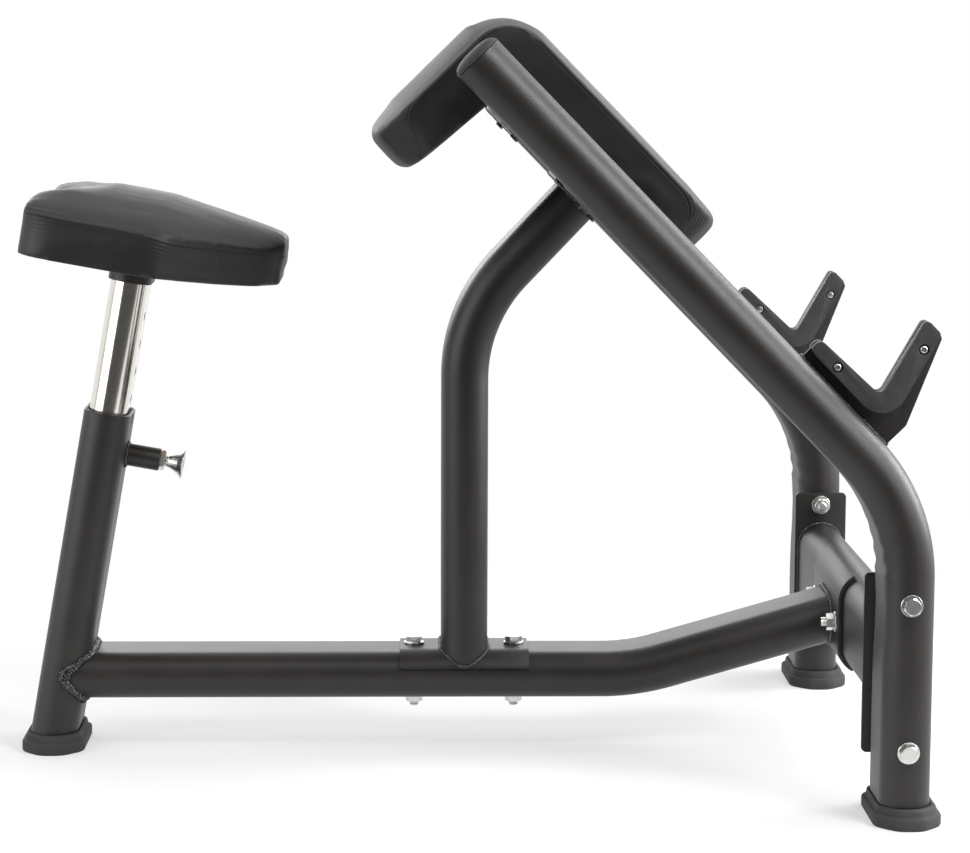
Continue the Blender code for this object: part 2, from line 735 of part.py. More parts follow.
def bracket_outline():
    """Band over the beam's top and upper sides, in Y and Z."""
    rise = (OVAL_WIDE - OVAL_THICK) / 2
    low = math.asin((BRACKET_LOW_Z - 0.004 - BEAM_Z) / (UPPER_RADIUS + GAP))
    angles = [math.pi / 2 - angle for angle in facet_angles(0.0, math.pi / 2 - low)][::-1]

    def arc(offset, sign):
        """Points from a side's lower edge to the flat top."""
        radius = UPPER_RADIUS + offset
        points = []
        for angle in angles:
            points.append((sign * (rise + radius * math.cos(angle)), BEAM_Z + radius * math.sin(angle)))
        return points

    outer = GAP + BRACKET_THICK
    outside = arc(outer, 1) + arc(outer, -1)[::-1]
    inside = arc(GAP, -1) + arc(GAP, 1)[::-1]
    return outside + inside


def make_support():
    """Box bars between the side tubes and the bolts through them into the pad's board."""
    half = SIDE_Y - OVAL_WIDE / 2 - GAP
    frame = slope_frame()
    pad_bolt = bolt(0.052, PAD_BOLT_ACROSS, PAD_BOLT_RADIUS, PAD_BOLT_HEAD, 0.0)
    bars = (
        ("upper", UPPER_BAR_ALONG, UPPER_BAR_WIDE, (0.0,), UPPER_BOLT_Y),
        ("lower", LOWER_BAR_ALONG, LOWER_BAR_WIDE, (-LOWER_BOLT_SPREAD, LOWER_BOLT_SPREAD), LOWER_BOLT_Y),
    )
    for name, along, wide, spread, bolt_y in bars:
        low, high = -UPPER_RADIUS, PAD_SEAT - GAP
        reach = wide / 2
        corners = [(-along + reach, high), (-along - reach, high)]
        corners += [(-along - reach, low), (-along + reach, low)]
        thin = reach - BAR_WALL
        inner = [(-along + thin, high - BAR_WALL), (-along - thin, high - BAR_WALL)]
        inner += [(-along - thin, low + BAR_WALL), (-along + thin, low + BAR_WALL)]
        rings = [rounded(corners, [2 * BAR_WALL] * 4, 2), rounded(inner, [BAR_WALL] * 4, 1)]
        bar = add("pad_crossbar_" + name, prism(rings, half, "Y"), BLACK_STEEL, frame)
        trim_to_ovals(bar, along)
        for index, shift in enumerate(spread):
            for side, sign in (("near", -1), ("far", 1)):
                label = name + "_" + side + ("_" + "ab"[index] if len(spread) > 1 else "")
                spot = frame @ Matrix.Translation((-along + shift, sign * bolt_y, 0.0))
                hole(bar, "bar_hole_" + label, PAD_BOLT_RADIUS + GAP, -0.04, 0.02, "Z", spot)
                under = Matrix.Translation((0.0, 0.0, low - GAP))
                under = under @ Matrix.Rotation(math.pi, 4, "X")
                add("pad_bolt_" + label, pad_bolt, BLACK_OXIDE, spot @ under)


def trim_to_ovals(bar, along):
    """Cope a bar's ends to the round inner sides of the side tubes."""
    place = slope_frame() @ Matrix.Translation((-along, 0.0, 0.0))
    for side, sign in (("near", -1), ("far", 1)):
        centre = (sign * SIDE_Y, 0.0)
        outline = oval(OVAL_THICK + 2 * GAP, OVAL_WIDE + 2 * GAP, centre, upright=True)
        cutter = prism([outline], OVAL_WIDE / 2, "X")
        modify(bar, "DIFFERENCE", add_cutter(bar.name + "_cope_" + side, cutter, place))


def hook_outline():
    """Steel hook in the slope's frame: arm along the tube, upright leaning up the slope."""
    base = UPPER_RADIUS + GAP
    points = [
        (-HOOK_HEEL_ALONG, base),
        (-HOOK_HEEL_ALONG, HOOK_HEEL_TOP),
        (-HOOK_TIP_BACK, HOOK_TIP_TOP - LINER_LIP),
        (-HOOK_TIP_FRONT, HOOK_TIP_TOP - LINER_LIP),
        (-HOOK_INNER_ALONG, HOOK_ARM_BASE - LINER_LIP),
        (-HOOK_END_ALONG + LINER_LIP, HOOK_ARM_TOP - LINER_LIP),
        (-HOOK_END_ALONG + LINER_LIP, base),
    ]
    radii = [0.0, HOOK_HEEL_CORNER, HOOK_CORNER, HOOK_CORNER, CUP_CORNER, CUP_CORNER, 0.0]
    return rounded(points, radii, 3)


def liner_outline():
    """Plastic guard: a band along the hook's arm and upright."""
    points = [
        (-LINER_HEEL_ALONG, LINER_LOW),
        (-LINER_TIP_BACK, HOOK_TIP_TOP),
        (-HOOK_TIP_FRONT - LINER_LIP, HOOK_TIP_TOP),
        (-HOOK_INNER_ALONG, HOOK_ARM_BASE),
        (-HOOK_END_ALONG, HOOK_ARM_TOP),
        (-HOOK_END_ALONG, LINER_LOW),
    ]
    radii = [LINER_HEEL_CORNER, HOOK_CORNER, HOOK_CORNER, CUP_CORNER, CUP_CORNER, HOOK_CORNER]
    return rounded(points, radii, 3)


def make_bar_holders():
    """Both hooks with their guards and screws."""
    hook = prism([hook_outline()], HOOK_THICK / 2, "Y")
    liner = prism([liner_outline()], LINER_THICK / 2, "Y")
    screw = screw_mesh()
    for side, sign in (("near", -1), ("far", 1)):
        frame = slope_frame(sign * SIDE_Y)
        web = bevel(add("bar_holder_" + side, hook.copy(), BLACK_STEEL, frame), 0.0008, 1)
        guards = []
        for face, turn in (("outer", sign), ("inner", -sign)):
            shift = Matrix.Translation((0.0, turn * (HOOK_THICK / 2 + GAP + LINER_THICK / 2), 0.0))
            guard = add("liner_" + side + "_" + face, liner.copy(), LINER, frame @ shift)
            guards.append(bevel(guard, 0.0015, 1))
        for end, along, high in LINER_SCREW_SPOTS:
            spot = frame @ Matrix.Translation((-along, 0.0, high))
            label = side + "_" + end
            bore = rod(LINER_SCREW_RADIUS + GAP, -LINER_BORE, LINER_BORE, HOLE_STEPS, "Y")
            drill = add_cutter("liner_hole_" + label, bore, spot)
            sink = add_cutter("liner_sink_" + label, united_sinks(), spot)
            modify(web, "DIFFERENCE", drill)
            for guard in guards:
                modify(guard, "DIFFERENCE", drill)
                modify(guard, "DIFFERENCE", sink)
            turn = Matrix.Rotation(-sign * math.pi / 2, 4, "X")
            add("liner_screw_" + label, screw, ZINC, spot @ turn)


def united_sinks():
    """Two shallow round recesses, one in each guard's outer face."""
    depth = HOOK_THICK / 2 + GAP + LINER_THICK - LINER_SCREW_DEPTH
    radius = LINER_SCREW_HEAD + LINER_SINK_CLEARANCE
    first = rod(radius, depth, LINER_BORE, HOLE_STEPS, "Y")
    shape = bmesh.new()
    shape.from_mesh(first)
    second = rod(radius, -LINER_BORE, -depth, HOLE_STEPS, "Y")
    shape.from_mesh(second)
    shape.to_mesh(first)
    shape.free()
    return first


def screw_mesh():
    """Button-head screw with its sleeve nut, along Z and centred."""
    outer = HOOK_THICK / 2 + LINER_THICK - LINER_SCREW_DEPTH + 2 * GAP
    head = LINER_SCREW_HEAD
    profile = [
        (0.0, outer + 0.0012),
        (0.0014, outer + 0.0012),
        (0.0016, outer + 0.0026),
        (0.0030, outer + 0.0025),
        (head - 0.0004, outer + 0.0014),
        (head, outer),
        (LINER_SCREW_RADIUS, outer),
        (LINER_SCREW_RADIUS, -outer),
        (head, -outer),
        (head - 0.0004, -outer - 0.0014),
        (0.0, -outer - 0.0024),
    ]
    return turned(profile, 12)


def foot_outline(length, width, chamfer):
    """Rectangle with cut and softened corners."""
    half = length / 2
    wide = width / 2
    points = [(half, wide - chamfer), (half - chamfer, wide)]
    points += [(chamfer - half, wide), (-half, wide - chamfer)]
    points += [(-x, -y) for x, y in points]
    return rounded(points, [chamfer / 2] * 8, 2)


def make_feet():
    """Stepped rubber caps under the front sleeve and both legs."""
    skirt = prism([foot_outline(FOOT_LENGTH, FOOT_WIDTH, FOOT_CHAMFER)], FOOT_SKIRT / 2)
    weld(skirt, Matrix.Translation((0.0, 0.0, FOOT_SKIRT / 2)))
    low = FOOT_SKIRT - 0.002
    step = 2 * FOOT_STEP
    outline = foot_outline(FOOT_LENGTH - step, FOOT_WIDTH - step, FOOT_CHAMFER - 0.002)
    upper = prism([outline], (FOOT_HEIGHT - low) / 2)
    weld(upper, Matrix.Translation((0.0, 0.0, (FOOT_HEIGHT + low) / 2)))
    body = united([skirt, upper])
    grow = 2 * GAP
    socket = prism([oval(OVAL_THICK + grow, OVAL_WIDE + grow)], 0.05)
    places = (
        ("near", Matrix.Translation((LEG_X, -SIDE_Y, 0.0)), LEG_X + 0.002),
        ("far", Matrix.Translation((LEG_X, SIDE_Y, 0.0)), LEG_X + 0.002),
        ("front", post_frame(), FRONT_FOOT_X + 0.004),
    )
    for name, place, centre in places:
        y = place.translation.y
        cap = add("foot_cap_" + name, body.copy(), RUBBER, Matrix.Translation((centre, y, 0.0)))
        cutter = add_cutter("foot_socket_" + name, socket.copy(), place)
        floor = add_cutter("foot_floor_" + name, box((-0.2, -0.2, -0.2), (0.2, 0.2, FOOT_FLOOR)))
        floor.location = (centre, y, 0.0)
        modify(cutter, "DIFFERENCE", floor)
        modify(cap, "DIFFERENCE", cutter)


def make_sleeve():
    """Front sleeve with its bushing, and the housing of the locking pin."""
    wall = 2 * OVAL_WALL
    rings = [oval(OVAL_THICK, OVAL_WIDE), oval(OVAL_THICK - wall, OVAL_WIDE - wall)]
    low = -0.02
    middle = Matrix.Translation((0.0, 0.0, (SLEEVE_TOP + low) / 2))
    mesh = weld(prism(rings, (SLEEVE_TOP - low) / 2), middle)
    sleeve = add("front_post", smooth(mesh), BLACK_STEEL, post_frame())
    trim = add_cutter("sleeve_foot_trim", box((-0.8, -0.2, -0.2), (-0.3, 0.2, SIDE_BOTTOM_Z)))
    modify(sleeve, "DIFFERENCE", trim)
    opening = box((0.02, -0.005, SLEEVE_SLOT_LOW), (0.04, 0.005, SLEEVE_SLOT_HIGH))
    slot = add_cutter("sleeve_slot", opening, post_frame())
    modify(sleeve, "DIFFERENCE", slot)
    pin = post_frame(PIN_HEIGHT)
    drill = add_cutter("pin_hole_sleeve", rod(HOLE_RADIUS, 0.018, 0.05, 16, "X"), pin)
    modify(sleeve, "DIFFERENCE", drill)

    outer = OVAL_THICK - wall - 2 * GAP
    inner = CHROME_THICK + 2 * SLIDE_CLEARANCE
    rings = [oval(outer, OVAL_WIDE - OVAL_THICK + outer)]
    rings.append(oval(inner, CHROME_WIDE - CHROME_THICK + inner))
    low, high = BUSHING_LOW, SLEEVE_TOP - 0.002
    mesh = weld(prism(rings, (high - low) / 2), Matrix.Translation((0.0, 0.0, (high + low) / 2)))
    bushing = add("post_bushing", smooth(mesh), PLUG, post_frame())
    modify(bushing, "DIFFERENCE", drill)


def make_pin():
    """Housing, ferrule, spring, pin and pull knob on the pin's own axis."""
    frame = post_frame(PIN_HEIGHT)
    face = UPPER_RADIUS + GAP
    profile = [(BOSS_BORE, BOSS_END), (BOSS_RADIUS - 0.001, BOSS_END), (BOSS_RADIUS, BOSS_END - 0.001)]
    profile += [(BOSS_RADIUS, face), (BOSS_BORE, face)]
    add("pin_boss", turned(profile, 24, "X"), BLACK_STEEL, frame)
    start = BOSS_END + GAP
    ferrule = united([
        rod(BOSS_BORE - GAP, BOSS_END - 0.008, start + 0.002, 24, "X"),
        hexagon(0.023, start, NUT_END, "X"),
    ])
    item = add("pin_nut", ferrule, ZINC, frame)
    hole(item, "pin_nut_hole", 0.0055, 0.05, 0.09, "X", frame)
    collar = 0.040
    tip = 0.0015
    profile = [(0.0, KNOB_NECK + 0.004), (0.0050, KNOB_NECK + 0.004), (0.0050, collar + 0.006)]
    profile += [(BOSS_BORE - 0.0006, collar + 0.006), (BOSS_BORE - 0.0006, collar), (PIN_RADIUS, collar)]
    profile += [(PIN_RADIUS, PIN_TIP + tip), (PIN_RADIUS - tip, PIN_TIP), (0.0, PIN_TIP)]
    add("pin_shaft", turned(profile, 20, "X"), SPRING_STEEL, frame)
    profile = [(0.0053, NUT_END + 0.001), (0.0080, NUT_END + 0.001), (0.0075, KNOB_NECK)]
    profile += [(0.0080, KNOB_NECK + 0.001), (0.0110, KNOB_CONE), (0.0150, KNOB_CONE + 0.0025)]
    profile += [(KNOB_RADIUS - 0.0008, KNOB_END - 0.0008), (KNOB_RADIUS, KNOB_END)]
    profile += [(KNOB_RADIUS - 0.0012, KNOB_END + 0.0002), (0.0140, KNOB_CONE + 0.0045)]
    profile += [(0.0070, KNOB_CONE + 0.0035), (0.0, KNOB_CONE + 0.0032)]
    profile += [(0.0, KNOB_NECK + 0.0043), (0.0053, KNOB_NECK + 0.0043)]
    add("pin_knob", knob_mesh(profile), ZINC, frame)
    coil = spring_mesh(collar + 0.006 + PIN_TRAVEL + 2 * GAP, BOSS_END - 0.0086)
    add("pin_spring", coil, SPRING_STEEL, frame)


def knob_mesh(profile):
    """Turn the knob's profile, which touches its axis along part of its length."""
    mesh = bpy.data.meshes.new("knob")
    corners = [(radius, 0.0, height) for radius, height in profile]
    inner = len(corners) - 2
    order = [inner] + [len(corners) - 1] + list(range(inner))
    corners = [corners[index] for index in order]
    edges = [(index, index + 1) for index in range(len(corners) - 1)]
    mesh.from_pydata(corners, edges, [])
    item = bpy.data.objects.new("knob", mesh)
    bpy.context.scene.collection.objects.link(item)
    step = item.modifiers.new("screw", "SCREW")
    step.steps = 20
    step.render_steps = 20
    step.use_merge_vertices = True
    step.merge_threshold = 0.00001
    return smooth(weld(evaluated(item), Matrix.Rotation(math.pi / 2, 4, "Y")), 30.0)


def spring_mesh(low, high, coils=4, steps=10, wire=0.0007):
    """Coil of round wire along X."""
    points = []
    total = coils * steps
    for step in range(total + 1):
        angle = 2 * math.pi * step / steps
        along = low + wire + (high - low - 2 * wire) * step / total
        points.append((along, 0.0078 * math.cos(angle), 0.0078 * math.sin(angle)))
    item = curve_object("coil", [points], False)
    item.data.bevel_depth = wire
    item.data.bevel_resolution = 1
    item.data.use_fill_caps = True
    return smooth(weld(evaluated(item)))


def make_seat_post():
    """Chromed tube with its row of holes, and the collar with its plate."""
    wall = 2 * CHROME_WALL
    rings = [oval(CHROME_THICK, CHROME_WIDE), oval(CHROME_THICK - wall, CHROME_WIDE - wall)]
    middle = (CHROME_LOW + CHROME_TOP) / 2
    mesh = weld(prism(rings, (CHROME_TOP - CHROME_LOW) / 2), Matrix.Translation((0.0, 0.0, middle)))
    post = add("seat_post", smooth(mesh), CHROME, post_frame())
    for index in range(-HOLES_BELOW, HOLES_ABOVE + 1):
        place = post_frame(PIN_HEIGHT + index * HOLE_PITCH)
        hole(post, "post_hole_" + str(index + HOLES_BELOW), HOLE_RADIUS, 0.010, 0.05, "X", place)
    plate_high = SEAT_LOW + SEAT_BOARD_RECESS - GAP
    low, high = SEAT_LOW - COLLAR_HEIGHT, plate_high - SEAT_PLATE_THICK
    grow = CHROME_THICK + COLLAR_GROW
    collar = prism([oval(grow, CHROME_WIDE - CHROME_THICK + grow)], (high - low) / 2)
    weld(collar, Matrix.Translation((0.0, 0.0, (high + low) / 2)))
    plate_low = high - 0.0005
    long, wide = SEAT_PLATE_HALF, SEAT_PLATE_WIDE
    corners = [(long, wide), (-long, wide), (-long, -wide), (long, -wide)]
    plate = prism([rounded(corners, [SEAT_PLATE_CORNER] * 4, 3)], (plate_high - plate_low) / 2)
    weld(plate, Matrix.Translation((0.0, 0.0, (plate_low + plate_high) / 2)))
    bracket = add("seat_bracket", united([collar, plate]), BLACK_STEEL, post_frame())
    inner = CHROME_THICK + 2 * GAP
    socket = prism([oval(inner, CHROME_WIDE - CHROME_THICK + inner)], COLLAR_HEIGHT)
    weld(socket, Matrix.Translation((0.0, 0.0, CHROME_TOP + GAP - COLLAR_HEIGHT)))
    modify(bracket, "DIFFERENCE", add_cutter("bracket_socket", socket, post_frame()))


def soft_corner(first, second):
    """Map a unit square's corner to a quarter disc."""
    return first * math.sqrt(1 - second * second / 2), second * math.sqrt(1 - first * first / 2)


def grid_box(cuts):
    """Box from 0 to 1 on each axis with loops at the given values."""
    shape = bmesh.new()
    bmesh.ops.create_cube(shape, size=1.0, matrix=Matrix.Translation((0.5, 0.5, 0.5)))
    for axis, values in enumerate(cuts):
        normal = Vector((0.0, 0.0, 0.0))
        normal[axis] = 1.0
        for value in values:
            geometry = shape.verts[:] + shape.edges[:] + shape.faces[:]
            bmesh.ops.bisect_plane(
                shape, geom=geometry, plane_co=normal * value, plane_no=normal, dist=0.0001
            )
    return shape


def finish_form(shape, name, material, matrix):
    """Turn a shaped cage into a subdivided cushion."""
    mesh = bpy.data.meshes.new(name)
    bmesh.ops.recalc_face_normals(shape, faces=shape.faces)
    shape.to_mesh(mesh)
    shape.free()
    item = add(name, smooth(mesh, 180.0), material, matrix)
    step = item.modifiers.new("soften", "SUBSURF")
    step.levels = 1
    step.render_levels = 1
    return item


def crown(share, power=2.6):
    """Height share of a crown at a share of the half-width."""
    return 1.0 - min(1.0, abs(share)) ** power


def pad_section(along):
    """Outer and inner points of the hooked pad at a path share, with the outward direction."""
    tilt = math.radians(PAD_LEG_TILT_DEG)
    outer_centre = Vector((PAD_FRONT_ALONG - PAD_OUTER_RADIUS, PAD_SEAT + PAD_THICK - PAD_OUTER_RADIUS))
    inner_along = PAD_FRONT_ALONG - PAD_LEG_THICK
    if along <= 0.5:
        share = along / 0.5
        outer = PAD_LOW_ALONG + (outer_centre.x - PAD_LOW_ALONG) * share
        inner = PAD_LOW_ALONG + (inner_along - PAD_INNER_RADIUS - PAD_LOW_ALONG) * share
        return Vector((outer, PAD_SEAT + PAD_THICK)), Vector((inner, PAD_SEAT)), Vector((0.0, 1.0))
    if along <= 0.7:
        angle = (math.pi / 2) * (1 - (along - 0.5) / 0.2)
        way = Vector((math.cos(angle), math.sin(angle)))
        inner_centre = Vector((inner_along - PAD_INNER_RADIUS, PAD_SEAT - PAD_INNER_RADIUS))
        return outer_centre + way * PAD_OUTER_RADIUS, inner_centre + way * PAD_INNER_RADIUS, way
    share = (along - 0.7) / 0.3
    outer = outer_centre.y - (outer_centre.y + PAD_LEG_DROP) * share
    inner = PAD_SEAT - PAD_INNER_RADIUS - (PAD_SEAT - PAD_INNER_RADIUS + PAD_LEG_DROP) * share
    lean = math.tan(tilt)
    return (
        Vector((PAD_FRONT_ALONG, outer)),
        Vector((inner_along - lean * (inner - PAD_SEAT), inner)),
        Vector((1.0, 0.0)),
    )


def make_arm_pad():
    """Hooked arm pad: flat side panels, crowned face and a board let into its underside."""
    along = [0.035, 0.2, 0.42, 0.5, 0.57, 0.64, 0.7, 0.8, 0.905, 0.965]
    across = [0.03, 0.075, 0.2, 0.5, 0.8, 0.925, 0.97]
    shape = grid_box((along, across, [0.12, 0.88]))
    for vert in shape.verts:
        path, wide, thick = vert.co
        share = 2 * wide - 1
        outer, inner, way = pad_section(path)
        point = inner + (outer - inner) * thick
        rise = PAD_CROWN_TOP + (PAD_CROWN_FRONT - PAD_CROWN_TOP) * min(1.0, max(0.0, (path - 0.5) / 0.2))
        ends = min(1.0, path / 0.05, (1 - path) / 0.05)
        point = point + way * (rise * crown(share) * thick * (0.65 + 0.35 * ends))
        y = PAD_HALF * share
        low_end = path * (PAD_FRONT_ALONG - PAD_LOW_ALONG) / 0.5
        if path < 0.5 and low_end < PAD_LOW_CORNER and abs(y) > PAD_HALF - PAD_LOW_CORNER:
            first = 1 - low_end / PAD_LOW_CORNER
            second = (abs(y) - PAD_HALF + PAD_LOW_CORNER) / PAD_LOW_CORNER
            new_first, new_second = soft_corner(first, second)
            point.x += (first - new_first) * PAD_LOW_CORNER
            y = math.copysign(PAD_HALF - PAD_LOW_CORNER * (1 - new_second), y)
        leg_end = (1 - path) * (PAD_LEG_DROP + 0.02) / 0.3
        if path > 0.7 and leg_end < PAD_LEG_CORNER and abs(share) > 1 - PAD_LEG_CORNER / PAD_HALF:
            first = 1 - leg_end / PAD_LEG_CORNER
            second = (abs(y) - PAD_HALF + PAD_LEG_CORNER) / PAD_LEG_CORNER
            new_first, new_second = soft_corner(first, second)
            point.y += (first - new_first) * PAD_LEG_CORNER
            y = math.copysign(PAD_HALF - PAD_LEG_CORNER * (1 - new_second), y)
        if path > 0.999:
            point.y -= PAD_CROWN_LEG * crown(share, 4.0) * (1 - abs(2 * thick - 1) ** 2 * 0.6)
        if path < 0.001:
            point.x -= PAD_CROWN_LOW * crown(share, 6.0) * (1 - abs(2 * thick - 1) ** 2 * 0.6)
        vert.co = Vector((-point.x, y, point.y))
    frame = slope_frame()
    pad = finish_form(shape, "arm_pad", VINYL, frame)
    low = PAD_LOW_ALONG + BOARD_MARGIN
    high = PAD_FRONT_ALONG - PAD_LEG_THICK - BOARD_MARGIN
    half = PAD_HALF - BOARD_MARGIN
    corners = [(-low, half), (-high, half), (-high, -half), (-low, -half)]
    board = prism([rounded(corners, [0.012] * 4, 3)], BOARD_THICK / 2)
    weld(board, Matrix.Translation((0.0, 0.0, PAD_SEAT + BOARD_THICK / 2)))
    item = add("arm_pad_board", board, PLYWOOD, frame)
    wide = half + GAP
    grown = [(-low + GAP, wide), (-high - GAP, wide), (-high - GAP, -wide), (-low + GAP, -wide)]
    pocket = prism([rounded(grown, [0.012] * 4, 3)], BOARD_THICK)
    weld(pocket, Matrix.Translation((0.0, 0.0, PAD_SEAT + GAP)))
    modify(pad, "DIFFERENCE", add_cutter("pad_pocket", pocket, frame))
    flat = add_cutter("pad_flat", box((-high, -half, -0.01), (-low, half, PAD_SEAT)), frame)
    modify(pad, "DIFFERENCE", flat)
    for source in [name.name for name in PARTS.objects if name.name.startswith("pad_bolt_")]:
        place = PARTS.objects[source].matrix_world
        for target, label in ((item, "board_"), (pad, "cushion_")):
            drill = add_cutter(label + source, rod(PAD_BOLT_RADIUS + GAP, -0.056, 0.0, 12), place)
            modify(target, "DIFFERENCE", drill)


def seat_half_width(along):
    """Half-width of the seat at a distance from the post's axis."""
    if along <= SEAT_WIDE_AT:
        return SEAT_HALF
    share = (along - SEAT_WIDE_AT) / (SEAT_NOSE - SEAT_WIDE_AT)
    return SEAT_HALF + (SEAT_NOSE_HALF - SEAT_HALF) * share


def make_seat():
    """Tapered seat cushion with a two-lobed rear edge, and its board."""
    along = [0.04, 0.13, 0.32, 0.5, 0.57, 0.75, 0.93, 0.97]
    across = [0.03, 0.1, 0.26, 0.5, 0.74, 0.9, 0.97]
    shape = grid_box((along, across, [0.1, 0.9]))
    length = SEAT_NOSE - SEAT_BACK
    for vert in shape.verts:
        path, wide, thick = vert.co
        share = 2 * wide - 1
        x = SEAT_BACK + length * path
        half = seat_half_width(x)
        back = x - SEAT_BACK
        front = SEAT_NOSE - x
        y = half * share
        if back < SEAT_CORNER and abs(y) > half - SEAT_CORNER:
            first = 1 - back / SEAT_CORNER
            second = (abs(y) - half + SEAT_CORNER) / SEAT_CORNER
            new_first, new_second = soft_corner(first, second)
            x += (first - new_first) * SEAT_CORNER
            y = math.copysign(half - SEAT_CORNER * (1 - new_second), y)
        nose = SEAT_CORNER * 0.55
        if front < nose and abs(y) > half - nose:
            first = 1 - front / nose
            second = (abs(y) - half + nose) / nose
            new_first, new_second = soft_corner(first, second)
            x -= (first - new_first) * nose
            y = math.copysign(half - nose * (1 - new_second), y)
        lobe = SEAT_LOBE * math.cos(math.pi * share / 0.72) if abs(share) < 0.72 else -SEAT_LOBE
        fade = max(0.0, 1 - back / 0.10)
        x += (lobe * 0.5 + 0.5 * SEAT_LOBE) * fade
        nose_fall = 0.40 + 0.60 * min(1.0, front / 0.115) ** 0.9
        back_fall = 0.45 + 0.55 * min(1.0, back / 0.045) ** 0.5
        dome = crown(share, 2.4) * min(nose_fall, back_fall)
        valley = 0.30 * max(0.0, 1 - (share / 0.5) ** 2) * max(0.0, 1 - back / 0.10)
        under = SEAT_LOW + SEAT_NOSE_RISE * max(0.0, (x - SEAT_WIDE_AT) / (SEAT_NOSE - SEAT_WIDE_AT)) ** 3
        top = SEAT_LOW + SEAT_SEAM + SEAT_CROWN * dome * (1 - valley)
        z = under + (top - under) * thick
        vert.co = Vector((x, y, z))
    frame = post_frame()
    seat = finish_form(shape, "seat_cushion", VINYL, frame)
    board = prism([seat_board_outline(0.0)], SEAT_BOARD_THICK / 2)
    middle = SEAT_LOW + SEAT_BOARD_RECESS + SEAT_BOARD_THICK / 2
    add("seat_board", weld(board, Matrix.Translation((0.0, 0.0, middle))), PLYWOOD, frame)
    pocket = prism([seat_board_outline(GAP)], SEAT_BOARD_THICK)
    top = SEAT_LOW + SEAT_BOARD_RECESS + SEAT_BOARD_THICK + GAP
    weld(pocket, Matrix.Translation((0.0, 0.0, top - SEAT_BOARD_THICK)))
    modify(seat, "DIFFERENCE", add_cutter("seat_pocket", pocket, frame))
    low = (2 * SEAT_BACK, -2 * SEAT_HALF, SEAT_LOW - SEAT_BOARD_THICK)
    flat = add_cutter("seat_flat", box(low, (2 * SEAT_NOSE, 2 * SEAT_HALF, SEAT_LOW)), frame)
    modify(seat, "DIFFERENCE", flat)


def seat_board_outline(grow):
    """Outline of the board under the seat, or of the pocket that it lies in."""
    half = SEAT_HALF - SEAT_BOARD_MARGIN + grow
    nose = seat_half_width(SEAT_BOARD_FRONT) - SEAT_BOARD_MARGIN + grow
    back = SEAT_BACK + SEAT_BOARD_MARGIN + SEAT_LOBE - grow
    corners = [(back, half), (SEAT_WIDE_AT, half), (SEAT_BOARD_FRONT + grow, nose)]
    outline = [(x, -y) for x, y in corners] + [(x, y) for x, y in corners[::-1]]
    sharp = SEAT_PLATE_CORNER
    blunt = 2 * sharp
    return rounded(outline, [blunt, blunt, sharp, sharp, blunt, blunt], 4)


make_side_frames()
make_cross_member()
make_beam()
make_middle_post()
make_support()
make_bar_holders()
make_feet()
make_sleeve()
make_pin()
make_seat_post()
make_arm_pad()
make_seat()
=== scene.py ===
"""Looks of a preacher bench: powder-coated flat-oval frame, vinyl cushions and a chromed seat post.

Metres, +Z up. The user faces +X and the floor is at Z = 0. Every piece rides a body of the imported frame.
"""

from __future__ import annotations

import logging
import math
from dataclasses import dataclass, field
from enum import Enum
from typing import Callable, Iterable, Sequence
import bmesh
import bpy
import numpy as np
from mathutils import Matrix, Vector, noise


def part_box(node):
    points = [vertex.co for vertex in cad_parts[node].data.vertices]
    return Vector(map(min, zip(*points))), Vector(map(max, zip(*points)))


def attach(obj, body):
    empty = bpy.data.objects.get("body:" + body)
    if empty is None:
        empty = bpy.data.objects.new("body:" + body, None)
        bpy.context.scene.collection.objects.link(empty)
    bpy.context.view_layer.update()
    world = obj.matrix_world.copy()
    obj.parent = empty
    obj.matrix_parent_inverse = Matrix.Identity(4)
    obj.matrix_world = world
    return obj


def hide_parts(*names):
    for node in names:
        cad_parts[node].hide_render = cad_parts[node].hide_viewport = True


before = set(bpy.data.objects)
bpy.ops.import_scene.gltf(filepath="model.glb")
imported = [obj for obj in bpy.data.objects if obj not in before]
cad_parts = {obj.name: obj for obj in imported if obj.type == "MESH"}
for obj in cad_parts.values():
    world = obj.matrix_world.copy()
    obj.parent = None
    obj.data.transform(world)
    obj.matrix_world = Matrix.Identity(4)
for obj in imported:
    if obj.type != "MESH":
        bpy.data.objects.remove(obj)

LOG = logging.getLogger("preacher_bench")
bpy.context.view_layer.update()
MM = 0.001
GAP = 0.3 * MM

Point = tuple[float, float]
Outline = list[Point]
Ring = list[Vector]
Mesh = bpy.types.Mesh
Given = dict[object, object]


def shifted(x: float, y: float, z: float) -> Matrix:
    """Move to a point."""
    return Matrix.Translation((x, y, z))


def rotated(angle: float, axis: str) -> Matrix:
    """Turn about an axis, by an angle in radians."""
    return Matrix.Rotation(angle, 4, axis)


class Body(Enum):
    """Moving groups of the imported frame."""

    FRAME = "frame"
    SEAT = "seat"
    PIN = "pin"


class Ends(Enum):
    """How a loft's first and last rings are closed."""

    CAPPED = "capped"
    JOINED = "joined"


class Axis(Enum):
    """Axis that a prism or a turned shape runs along."""

    X = "X"
    Y = "Y"
    Z = "Z"


class Side(Enum):
    """The bench's two sides."""

    NEAR = "near"
    FAR = "far"

    @property
    def sign(self) -> float:
        """Direction of the side along Y."""
        return -1.0 if self is Side.NEAR else 1.0


